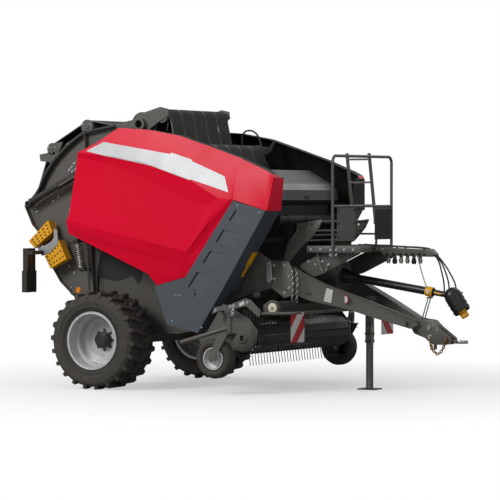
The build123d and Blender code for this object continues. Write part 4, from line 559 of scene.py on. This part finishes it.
shape = bmesh.new()  # fasteners of the fairings
for x in (862, 900, 930):
    bolt(shape, at(x, -PANEL_Y, 980 + (x - 862) * 0.05), SIDE, 0.006)
for x, z in ((1600, 1900), (1850, 1830), (1180, 660), (830, 720)):
    bolt(shape, at(x, -PANEL_Y, z), SIDE, 0.007)
finish("fairing_bolts", shape, "chassis", zinc, both_sides=True)
shape = bmesh.new()  # raised crease low on the fairings, and the patch in the hollow's end
slab(shape, [(825, 921), (846, 926), (942, 770), (1043, 748), (1041, 730), (928, 752)], -PANEL_Y - 0.5,
     -PANEL_Y + 6)
slab(shape, [(958, 1066), (985, 1080), (1092, 1046), (1100, 962), (1040, 955), (985, 1000)], -PANEL_Y - 0.5,
     -PANEL_Y + 60)
finish("fairing_creases", shape, "chassis", blue_grey, bevel=0.003, both_sides=True)

shape = bmesh.new()  # hitch and hose bar fasteners
for x, z, size in ((3257, 662, 0.019), (3263, 572, 0.019), (3308, 690, 0.010), (3350, 640, 0.010)):
    for side_y, axis in ((-74, SIDE), (74, -SIDE)):
        bolt(shape, at(x, side_y, z), axis, size)
for x in (2640, 2700):
    bolt(shape, at(x, -25, 1448), SIDE, 0.012)
finish("hitch_bolts", shape, "chassis", steel)

shape = bmesh.new()  # hoop, platform and root fasteners
for z in (1400, 1450):
    for x in (2405, 2467):
        bolt(shape, at(x, -600, z), SIDE, 0.011)
for x in (2180, 2290, 2560, 2660):
    bolt(shape, at(x, -600, 1455), SIDE, 0.010)
for x, z in ((2100, 1330), (2180, 1300), (2260, 1330), (2330, 1300)):
    bolt(shape, at(x, -500, z), SIDE, 0.010)
for x, z in ((1780, 1290), (1780, 1150), (1900, 1010), (1950, 1060), (1950, 1180), (1900, 1290)):
    bolt(shape, at(x, -640, z), SIDE, 0.012)
finish("frame_bolts", shape, "chassis", zinc, both_sides=True)

# hydraulic couplings under the hose bar: bright ones, black ones and the black knob above each
COUPLING_Z = 1352
BRIGHT_X = (2760, 2904, 2976, 3120)
BLACK_X = (2832, 3048)
BRIGHT_TURNED = [(-0.012, 0.0), (-0.012, 0.0195), (0.0, 0.0195), (0.004, 0.024), (0.022, 0.024),
                 (0.026, 0.019), (0.040, 0.019), (0.044, 0.012), (0.044, 0.0)]
BLACK_TURNED = [(-0.012, 0.0), (-0.012, 0.0205), (0.0, 0.0205), (0.006, 0.026), (0.036, 0.026), (0.042, 0.02),
                (0.048, 0.02), (0.05, 0.0)]
shape = bmesh.new()
for x in BRIGHT_X:
    disc_profile(shape, at(x, 0, COUPLING_Z), -UP, BRIGHT_TURNED, 24)
finish("bright_couplings", shape, "chassis", steel)
shape = bmesh.new()
for x in sorted(BRIGHT_X + BLACK_X):
    if x in BLACK_X:
        disc_profile(shape, at(x, 0, COUPLING_Z), -UP, BLACK_TURNED, 24)
    rod(shape, at(x, -26, 1408), at(x, -52, 1400), 0.010, 12)
finish("black_couplings", shape, "chassis", black_plastic)

# second run of small pipes along the hose bar
for no, (y, z) in enumerate(((-33, 1470), (33, 1474))):
    pipe(f"bar_pipe_{no}", [at(2450, y * 2, 1500), at(2640, y, z + 18), at(2900, y, z + 8), at(3160, y, z),
                            at(3216, y, z - 14)], 0.007, "chassis", hose_rubber)

# drawbar: blank label, round sign, lightening hole with its bolt
SPREAD = 0.3883           # angle between an arm and the middle line
ARM_SPLAY = 0.4096        # the arm's middle line moves out by this for each millimetre back from the tip
ARM_HALF = 45
TIP = (3140, 70)
ARM_OUT = Vector((-sin(SPREAD), -cos(SPREAD), 0))


def on_arm(x, z, proud):
    """Place on the outer face of the right drawbar arm."""
    y = -(TIP[1] + (TIP[0] - x) * ARM_SPLAY) - ARM_HALF / cos(SPREAD) - proud
    return at(x, y, z)


shape = bmesh.new()
plate(shape, [on_arm(x, z, 1.0) for x, z in ((2262, 930), (2334, 908), (2352, 1040), (2290, 1062))], 0.0012)
finish("arm_label", shape, "chassis", label_white)
shape = bmesh.new()
centre = on_arm(2470, 946, 0.5)
rod(shape, centre, centre + ARM_OUT * 0.003, 0.046, 40)
finish("arm_sign_edge", shape, "chassis", sign_red)
shape = bmesh.new()
rod(shape, centre + ARM_OUT * 0.002, centre + ARM_OUT * 0.0042, 0.035, 40)
finish("arm_sign", shape, "chassis", label_white)
# the lightening hole is a black disc with a raised ring: painted shade in the hole
shape = bmesh.new()
disc_profile(shape, on_arm(3040, 702, -1.0), ARM_OUT, [(0.0, 0.0), (0.0, 0.014), (0.003, 0.014),
                                                       (0.003, 0.023), (0.0, 0.024)], 28)
finish("arm_hole_painted_shade", shape, "chassis", black_and_painted_shade)
shape = bmesh.new()
bolt(shape, on_arm(3058, 690, 0), ARM_OUT, 0.010)
for x, z in ((1930, 1255), (2010, 1190), (2130, 1010)):
    bolt(shape, on_arm(x, z, 0), ARM_OUT, 0.012)
finish("arm_bolts", shape, "chassis", steel)

# root of the drawbar: galvanised strap, tube ring, chains
shape = bmesh.new()
slab(shape, [(1700, 1318), (1752, 1332), (1772, 1150), (1744, 1108), (1706, 1120)], -668, -660)
finish("root_strap", shape, "chassis", zinc, bevel=0.002, both_sides=True)
shape = bmesh.new()
for z in (1290, 1245, 1180, 1140):
    bolt(shape, at(1732, -668, z), SIDE, 0.013)
finish("strap_bolts", shape, "chassis", steel, both_sides=True)
shape = bmesh.new()
disc_profile(shape, at(1560, -660, 985), Vector((-0.55, -0.83, 0)),
             [(-0.05, 0.030), (0.03, 0.030), (0.03, 0.036), (-0.05, 0.036)], 24)
finish("root_tube_ring", shape, "chassis", frame_grey)
for no, (x, y, top, low) in enumerate(((1990, -655, 1245, 900), (2040, -650, 1235, 930))):
    chain(f"root_chain_{no}", [at(x, y, top), at(x + 12, y - 6, (top + low) / 2), at(x + 2, y, low)], 0.030,
          0.0045)
chain("brace_chain", hanging(at(2215, -522, 1400), at(2330, -522, 1280), 0.10), 0.028, 0.004)
chain("hitch_chain", hanging(at(3275, -84, 500), at(3452, -84, 545), 0.12, 12), 0.026, 0.005, brass)
shape = bmesh.new()
rod(shape, at(3275, -60, 520), at(3275, -96, 520), 0.009, 14)
rod(shape, at(3452, -60, 553), at(3452, -96, 553), 0.009, 14)
rod(shape, at(3283, -84, 500), at(3283, -84, 440), 0.010, 14)
finish("hitch_chain_pins", shape, "chassis", brass)

# driveline guard: yellow collar with a blank mark, and a yellow stripe
PTO_SLOPE = -0.1497       # angle of the driveline
PTO_RISE = -0.15077       # up for each millimetre forward
PTO_START = (2250, 1173.5)
PTO_DIR = Vector((cos(PTO_SLOPE), 0, sin(PTO_SLOPE)))
GUARD_SIDE = -0.0306      # metres to the guard tube's side
COLLAR_SIDE = -0.0525


def on_line(x):
    """Place on the driveline's middle."""
    return at(x, 0, PTO_START[1] + (x - PTO_START[0]) * PTO_RISE)


shape = bmesh.new()
disc_profile(shape, on_line(3190), PTO_DIR, [(0.0, 0.0455), (0.0, 0.0485), (0.004, 0.0505), (0.074, 0.0505),
                                             (0.078, 0.0485), (0.078, 0.0455)], 40)
finish("guard_collar", shape, "chassis", yellow)
shape = bmesh.new()
mid = on_line(3229)
plate(shape, [mid + Vector((x, COLLAR_SIDE, z)) for x, z in
              ((0, 0.024), (-0.022, 0), (0, -0.024), (0.022, 0))], 0.001)
finish("collar_mark", shape, "chassis", label_white)
shape = bmesh.new()
low, high = on_line(3292), on_line(3368)
plate(shape, [end + Vector((0, GUARD_SIDE, up)) for end, up in
              ((low, -0.007), (high, -0.007), (high, 0.007), (low, 0.007))], 0.001)
finish("guard_stripe", shape, "chassis", yellow)

# safety chain of the hose couplings, and the supply hose that arches over the front roller
chain("cap_chain", hanging(at(3106, -31, 1384), at(3205, -31, 1072), 0.02), 0.016, 0.0025)
pipe("roller_hose", [at(*p) for p in ((700, 612, 2500), (690, 612, 2600), (726, 612, 2700), (850, 612, 2700),
                                      (930, 612, 2590), (958, 612, 2420))], 0.010, "chassis",
     hose_rubber)

# jack: two black collars, pins and a chain
shape = bmesh.new()
for z in (496, 575):
    bmesh.ops.create_cube(shape, size=1, matrix=(Matrix.Translation(at(2470, 150, z))
                                                 @ Matrix.Diagonal((0.078, 0.078, 0.024, 1))))
finish("jack_collars", shape, "chassis", black_paint, bevel=0.003)
shape = bmesh.new()
rod(shape, at(2470, 106, 640), at(2470, 194, 640), 0.009, 14)
rod(shape, at(2425, 150, 820), at(2515, 150, 820), 0.008, 14)
finish("jack_pins", shape, "chassis", steel)
chain("jack_chain", hanging(at(2512, 108, 640), at(2522, 112, 470), 0.02, 5), 0.024, 0.0035)

# guard hoop: black plate on the far half, bolts in the near one
HOOP_HALF = 615.3
HOOP_LEAN = 52 / 1230.6   # the hoop's far end stands further forward


def on_hoop(y, z, proud):
    """Place ahead of the hoop's plates."""
    return at(2436 + (y + HOOP_HALF) * HOOP_LEAN + proud, y, z)


shape = bmesh.new()
plate(shape, [on_hoop(y, z, 6) for y, z in ((262, 1546), (604, 1546), (604, 1860), (262, 1860))], 0.0025)
finish("hoop_black_plate", shape, "chassis", black_and_painted_shade)
shape = bmesh.new()
for y, z in ((-500, 1580), (-180, 1580), (-500, 1850), (-180, 1850), (-500, 1715), (-180, 1715)):
    bolt(shape, on_hoop(y, z, 4), FORWARD, 0.009)
finish("hoop_plate_bolts", shape, "chassis", black_paint)


# springs of the tailgate latch stand beside the chamber wall, on the tailgate's lower edge
def spring(name, a, b, radius, wire, turns, body):
    """Coil spring: a wire swept along a helix between two points."""
    turn = (b - a).to_track_quat("Z", "Y").to_matrix().to_4x4()
    steps = turns * 12
    coil = [Vector((radius * cos(2 * pi * i / 12), radius * sin(2 * pi * i / 12), (b - a).length * i / steps))
            for i in range(steps + 1)]
    points = [Matrix.Translation(a) @ turn @ place for place in coil]
    pipe(name, points, wire, body, steel, sides=2)


LATCH_Y = 790
LATCH_INNER = 644         # where the struts' cross pins meet the chamber
for hand, sign in HANDS:
    y, inner = sign * LATCH_Y, sign * LATCH_INNER
    spring("latch_spring_" + hand, at(-490, y, 1490), at(-450, y, 1235), 0.043, 0.0085, 12, "tailgate")
    shape = bmesh.new()
    rod(shape, at(-512, y, 1530), at(-428, y, 1205), 0.016, 14)
    rod(shape, at(-515, y, 1540), at(-497, y, 1470), 0.040, 20)
    rod(shape, at(-442, y, 1258), at(-430, y, 1212), 0.040, 20)
    rod(shape, at(-510, y, 1520), at(-510, inner, 1520), 0.014, 14)
    rod(shape, at(-432, y, 1220), at(-432, inner, 1220), 0.014, 14)
    slab(shape, [(-400, 1520), (-372, 1520), (-340, 1010), (-360, 1000)], y - 8, y)
    rod(shape, at(-380, y, 1490), at(-380, inner, 1490), 0.012, 14)
    finish("latch_strut_" + hand, shape, "tailgate", black_paint)

# ------------------------------------------------------------------------ tailgate
GATE_OUT = 638            # the tailgate's outer face from the middle
GATE_EDGE = [(-120, 2750), (-476, 2700), (-651, 2590), (-860, 2412), (-1000, 2226), (-1074, 2064),
             (-1210, 1915)]
# forward, up, radius of the bearing
GATE_ROLLERS = ((-476, 2729, 78), (-915, 2496, 68), (-1130, 1891, 45), (-640, 1010, 55))
for hand, sign in HANDS:
    pipe("gate_edge_hose_" + hand, [at(x + 14, sign * (GATE_OUT + 46), z - 22) for x, z in GATE_EDGE], 0.017,
         "tailgate", hose_rubber)
shape = bmesh.new()
for x, z in ((-640, 2340), (-670, 2300), (-700, 2270), (-660, 2255), (-620, 2280), (-560, 1500), (-640, 1180),
             (-700, 1250), (-900, 1940), (-840, 1990), (-1110, 1830)):
    bolt(shape, at(x, -GATE_OUT, z), SIDE, 0.012)
for x, z, r in GATE_ROLLERS:
    for turn in range(3):
        angle = 2 * pi * turn / 3 + 0.5
        bolt(shape, at(x + 0.62 * r * cos(angle), -GATE_OUT - 4, z + 0.62 * r * sin(angle)), SIDE, 0.009)
finish("gate_bolts", shape, "tailgate", zinc, both_sides=True)
shape = bmesh.new()
for x, z, r in GATE_ROLLERS:
    disc_profile(shape, at(x, -GATE_OUT, z), SIDE,
                 [(-0.001, 0.0), (0.014, 0.0), (0.014, 0.28 * r / 1000), (0.006, 0.36 * r / 1000),
                  (0.006, 0.9 * r / 1000), (-0.001, 0.98 * r / 1000)], 36)
finish("gate_bearings", shape, "tailgate", frame_grey, both_sides=True)
shape = bmesh.new()  # arms behind the rear roller, and blank labels by the panels' rear edges
slab(shape, [(-1075, 2440), (-1065, 2370), (-900, 2350), (-830, 2430), (-900, 2470)], -GATE_OUT + 2,
     -GATE_OUT - 6)
finish("roller_arms", shape, "tailgate", frame_grey, bevel=0.001, both_sides=True)
shape = bmesh.new()
slab(shape, [(-700, 1780), (-560, 1780), (-560, 1860), (-700, 1860)], -GATE_OUT + 1, -GATE_OUT - 1.5)
finish("gate_labels", shape, "tailgate", label_white, both_sides=True)
shape = bmesh.new()  # ribs pressed into the tailgate's sides
for outline in ([(-1120, 1890), (-1100, 1925), (-250, 2430), (-240, 2395)],
                [(-980, 1470), (-960, 1500), (-400, 1560), (-400, 1528)]):
    slab(shape, outline, -GATE_OUT - 9, -GATE_OUT + 1)
finish("gate_ribs", shape, "tailgate", frame_grey, bevel=0.004, both_sides=True)
shape = bmesh.new()
disc_profile(shape, at(-590, -GATE_OUT, 1000), SIDE,
             [(0.0, 0.0), (0.008, 0.0), (0.008, 0.030), (0.0, 0.034)], 32)
finish("side_reflectors", shape, "tailgate", amber, both_sides=True)
shape = bmesh.new()
for y in (-950, 950):
    for z, r in ((1370, 0.042), (1290, 0.042), (1105, 0.036)):
        disc_profile(shape, at(-1035, y, z), -FORWARD,
                     [(0.0, 0.0), (0.010, 0.0), (0.010, r * 0.82), (0.006, r), (0.0, r)], 32)
for y, out in ((-1025, SIDE), (1025, -SIDE)):
    disc_profile(shape, at(-1005, y, 1012), out, [(0.0, 0.0), (0.006, 0.0), (0.006, 0.011), (0.0, 0.013)], 20)
finish("tail_lamps", shape, "tailgate", lamp_red)
CHOCK_OUT = GATE_OUT + 180
shape = bmesh.new()  # strap round the chocks
slab(shape, [(-985, 1441), (-897, 1471), (-807, 1517), (-775, 1571), (-778, 1657), (-733, 1631), (-722, 1501),
             (-823, 1401), (-923, 1361)], -CHOCK_OUT - 8, -CHOCK_OUT - 4)
finish("chock_strap", shape, "tailgate", zinc, bevel=0.0012)
shape = bmesh.new()  # the chocks' perforated outer sides
CHOCKS = (((-851, 1735), (-1094, 1517), (-1026, 1448), (-800, 1616)),
          ((-896, 1361), (-723, 1527), (-625, 1334), (-823, 1233)))
for outline in CHOCKS:
    slab(shape, outline, -CHOCK_OUT, -CHOCK_OUT - 3)
finish("chock_sides", shape, "tailgate", yellow, bevel=0.001)
# the chocks' holes are black discs: painted shade in the holes
shape = bmesh.new()
for (ax, az), (bx, bz), (cx, cz), (dx, dz) in CHOCKS:
    for i in range(5):
        for j in range(3):
            u, v = (i + 0.7) / 5.4, (j + 0.6) / 3.2
            x = (ax + (bx - ax) * u) * (1 - v) + (dx + (cx - dx) * u) * v
            z = (az + (bz - az) * u) * (1 - v) + (dz + (cz - dz) * u) * v
            rod(shape, at(x, -CHOCK_OUT - 2, z), at(x, -CHOCK_OUT - 3.6, z), 0.0105, 14)
finish("chock_holes_painted_shade", shape, "tailgate", black_and_painted_shade)

CYLINDER_LOW, CYLINDER_HIGH = Vector((-1150, 0, 1915)), Vector((-105, 0, 2446))
CYLINDER_Y = -748


def on_cylinder(share, y, down=0):
    """Place at a share of the way up a tailgate cylinder, from its lower pin to its upper one."""
    place = CYLINDER_LOW.lerp(CYLINDER_HIGH, share)
    return at(place.x, y, place.z - down)


shape = bmesh.new()  # shrouds over the cylinder rods
for a, b, r in ((0.03, 0.37, 0.035), (0.36, 0.378, 0.040), (0.03, 0.045, 0.039)):
    rod(shape, on_cylinder(a, CYLINDER_Y), on_cylinder(b, CYLINDER_Y), r, 28)
finish("rod_shrouds", shape, "cylinder_rods", black_paint, both_sides=True)
shape = bmesh.new()  # feed pipes along the cylinders
rod(shape, on_cylinder(0.395, CYLINDER_Y - 40, 22), on_cylinder(0.93, CYLINDER_Y - 40, 22), 0.005, 10)
for share in (0.40, 0.92):
    rod(shape, on_cylinder(share, CYLINDER_Y - 12), on_cylinder(share, CYLINDER_Y - 44, 24), 0.009, 10)
finish("cylinder_pipes", shape, "cylinder_barrels", steel, both_sides=True)

# ------------------------------------------------------------------------- net box
shape = bmesh.new()  # black plate in the handle slot of the lid's front face: painted shade in the slot
plate(shape, [at(1815.5, -62, 1965), at(1815.5, 44, 1965), at(1812.5, 58, 1998), at(1812.5, -48, 1998)],
      -0.004)
finish("lid_slot_painted_shade", shape, "net_lid", black_and_painted_shade)

# ------------------------------------------------------------------------- pickup
END_PLATE = -1028         # outer faces from the middle
PRESS_ARM = -1160
PRESS_ROLLER = (1990, 872)         # forward and up
REEL = (1640, 560)
shape = bmesh.new()  # end caps of the press roller
disc_profile(shape, at(PRESS_ROLLER[0], -1069, PRESS_ROLLER[1]), SIDE,
             [(-0.012, 0.0), (0.004, 0.0), (0.004, 0.038), (0.0, 0.050), (-0.012, 0.052)], 40)
finish("roller_caps", shape, "pickup", cream, both_sides=True)
shape = bmesh.new()
bolt(shape, at(PRESS_ROLLER[0], -1074, PRESS_ROLLER[1]), SIDE, 0.013)
for x, z in ((1385, 838), (1560, 878), (1760, 925)):
    bolt(shape, at(x, PRESS_ARM, z), SIDE, 0.013)
for x, z in ((1180, 570), (1290, 610), (1420, 500), (1560, 480), (1740, 600)):
    bolt(shape, at(x, END_PLATE, z), SIDE, 0.011)
finish("pickup_bolts", shape, "pickup", zinc, both_sides=True)
shape = bmesh.new()  # round drive cover on the pickup's end plate
disc_profile(shape, at(REEL[0], END_PLATE, REEL[1]), SIDE,
             [(-0.001, 0.145), (0.008, 0.145), (0.020, 0.132), (0.020, 0.062), (0.034, 0.050),
              (0.034, 0.030)], 48)
finish("drive_covers", shape, "pickup", frame_grey, both_sides=True)
shape = bmesh.new()  # blank label on the press arm, perforated height strap
slab(shape, [(1660, 918), (1718, 941), (1722, 908), (1664, 886)], PRESS_ARM - 2.2, PRESS_ARM)
finish("arm_plate_label", shape, "pickup", label_white, both_sides=True)
shape = bmesh.new()
slab(shape, [(1615, 640), (1645, 640), (1695, 905), (1668, 912)], -1306, -1300)
finish("height_straps", shape, "pickup", zinc, bevel=0.001, both_sides=True)
# the strap's holes are black discs: painted shade in the holes
shape = bmesh.new()
for i in range(6):
    disc_profile(shape, at(1636 + 9.4 * i, -1306, 680 + 40 * i), SIDE,
                 [(0.0, 0.0), (0.0015, 0.0), (0.0015, 0.008), (0.0, 0.009)], 16)
finish("strap_holes_painted_shade", shape, "pickup", black_and_painted_shade, both_sides=True)
PIN_BENDS = ((1660, 1318, 780), (1660, 1290, 780), (1660, 1260, 780), (1672, 1250, 742), (1690, 1290, 740),
             (1680, 1318, 770))
for hand, sign in HANDS:
    pipe("strap_pin_" + hand, [at(x, sign * y, z) for x, y, z in PIN_BENDS], 0.005, "pickup", steel)

# wind guard: thin stays ahead of the press roller
shape = bmesh.new()
for i in range(18):
    y = -960 + 113 * i
    rod(shape, at(2050, y, 822), at(2110, y, 812), 0.007, 8)
finish("guard_stays", shape, "pickup", frame_grey)
# coil of each pair of tines, on the reel's four bars
TINE_PITCH = 62
shape = bmesh.new()
for pair in range(0, 32, 2):
    for spoke in range(4):
        turn = radians(8 + 90 * spoke)
        out = Vector((sin(turn), 0, -cos(turn)))
        middle = at(REEL[0], (pair - 15.5) * TINE_PITCH + TINE_PITCH / 2, REEL[1]) + out * 0.074
        rod(shape, middle + SIDE * 0.034, middle - SIDE * 0.034, 0.011, 8)
finish("tine_coils", shape, "pickup_reel", worn_steel)

# ------------------------------------------------------------------------- wheels
HALF_TRACK = 1.085        # metres from the middle to a wheel's middle
HUB_FACE = -0.04          # outwards from the wheel's middle
BLOCKS = 44               # lugs in each of the two rows of the tread
BLOCK_REACH = 0.481       # metres from the hub to a lug's middle
NUTS = 8
for hand, sign in HANDS:
    out = Vector((0, sign, 0))
    hub = Vector((AXLE_X, sign * HALF_TRACK, AXLE_Z))
    shape = bmesh.new()  # three raised rings on each sidewall
    for u, reach in ((0.2385, 0.352), (0.2475, 0.388), (0.2435, 0.432)):
        for face in (1, -1):
            disc_profile(shape, hub + out * (face * (u - 0.003)), out * face,
                         [(0.0, reach - 0.006), (0.006, reach - 0.0035), (0.006, reach + 0.0035),
                          (0.0, reach + 0.006)], 72)
    finish("sidewall_rings_" + hand, shape, "wheel_" + hand, tyre_rubber)
    shape = bmesh.new()  # block lugs down the middle of the tread
    for i in range(BLOCKS):
        for across, shift, skew in ((-0.03, 0, -0.5), (0.03, 0.5, 0.5)):
            pose = (Matrix.Translation(hub + out * across)
                    @ Matrix.Rotation(2 * pi * (i + shift) / BLOCKS, 4, "Y")
                    @ Matrix.Translation((0, 0, BLOCK_REACH)) @ Matrix.Rotation(skew, 4, "Z")
                    @ Matrix.Diagonal((0.026, 0.052, 0.03, 1)))
            bmesh.ops.create_cube(shape, size=1, matrix=pose)
    finish("centre_blocks_" + hand, shape, "wheel_" + hand, tyre_rubber, bevel=0.003)
    shape = bmesh.new()  # bright bead edge and the valve
    disc_profile(shape, hub + out * 0.2205, out, [(0.0, 0.2995), (0.0042, 0.2995), (0.0055, 0.297),
                                                  (0.0042, 0.2945), (0.0, 0.2945)], 80)
    rod(shape, hub + out * 0.10 + Vector((0.19, 0, 0.12)), hub + out * 0.150 + Vector((0.185, 0, 0.115)),
        0.006, 12)
    finish("rim_trim_" + hand, shape, "wheel_" + hand, silver)
    shape = bmesh.new()
    for i in range(NUTS):
        turn = 2 * pi * i / NUTS
        bolt(shape, hub + out * (HUB_FACE + 0.009) + Vector((cos(turn), 0, sin(turn))) * 0.105, out, 0.012)
    finish("wheel_nuts_" + hand, shape, "wheel_" + hand, steel)
    shape = bmesh.new()  # nut on the inner side of the gauge wheel's fork
    bolt(shape, at(1497, sign * 1343, 367) - out * 0.098, -out, 0.014)
    finish("fork_nuts_" + hand, shape, "caster_" + hand, zinc)

# ----------------------------------------------------------------- floor and light
FLOOR_GLOW = 0.45         # share of plain white in the floor under the baler
GLOW_NEAR, GLOW_FAR = 1.0, 5.5     # metres from the middle between which it grows to pure white
DULL_GROUND = "#8A8A88"   # what the floor sends back up
shape = bmesh.new()
bmesh.ops.create_grid(shape, x_segments=1, y_segments=1, size=60)
floor_mesh = bpy.data.meshes.new("floor")
shape.to_mesh(floor_mesh)
shape.free()
floor = bpy.data.objects.new("floor", floor_mesh)
bpy.context.scene.collection.objects.link(floor)
floor_material = bpy.data.materials.new("pale_floor")
floor_material.use_nodes = True
tree = floor_material.node_tree
ground = tree.nodes["Principled BSDF"]
seen = put(tree, "LightPath").outputs["Is Camera Ray"]
shade = blend(tree, seen, linear(DULL_GROUND), linear("#F6F6F6"))
tree.links.new(shade, ground.inputs["Base Color"])
ground.inputs["Roughness"].default_value = 0.9
# the ground that lights the baler from below is dull; seen directly, the floor turns to pure white away from
# the baler, and keeps the shadow under it
place = put(tree, "TexCoord").outputs["Object"]
distance = put(tree, "VectorMath", operation="LENGTH", i0=place).outputs["Value"]
bright = put(tree, "MapRange", Value=distance, From_Min=GLOW_NEAR, From_Max=GLOW_FAR,
             To_Min=FLOOR_GLOW, To_Max=1.0)
glow = sums(tree, "MULTIPLY", bright.outputs["Result"], seen)
white = put(tree, "Emission", Strength=1.0)
mixed = put(tree, "MixShader", i0=glow, i1=ground.outputs[0], i2=white.outputs[0])
tree.links.new(mixed.outputs[0], tree.nodes["Material Output"].inputs["Surface"])
floor_mesh.materials.append(floor_material)

SKY = 0.42                # the sky's share in lighting the baler
MIRRORED_SKY = 0.12       # how far a mirror reflection of the sky goes from that share to the full white
world = bpy.data.worlds.new("world")
bpy.context.scene.world = world
world.use_nodes = True
tree = world.node_tree
rays = put(tree, "LightPath")
glossy = sums(tree, "MULTIPLY", rays.outputs["Is Glossy Ray"], MIRRORED_SKY)
seen = sums(tree, "MAXIMUM", rays.outputs["Is Camera Ray"], glossy)
strength = put(tree, "MapRange", Value=seen, To_Min=SKY, To_Max=1.0)
tree.links.new(strength.outputs["Result"], tree.nodes["Background"].inputs["Strength"])
tree.nodes["Background"].inputs["Color"].default_value = (1, 1, 1, 1)

LAMPS = (
    # name, place, edge in metres, watts
    ("key", (-5, -13, 9), 5, 1330),
    ("fill", (12, -6, 6), 6, 120),
    ("back", (2, 10, 8), 6, 120),
)
LIT_POINT = Vector((0, 0, 1.2))
for name, place, size, power in LAMPS:
    lamp_data = bpy.data.lights.new(name, "AREA")
    lamp_data.size = size
    lamp_data.energy = power
    lamp = bpy.data.objects.new(name, lamp_data)
    lamp.location = place
    lamp.rotation_euler = (LIT_POINT - Vector(place)).to_track_quat("-Z", "Y").to_euler()
    bpy.context.scene.collection.objects.link(lamp)
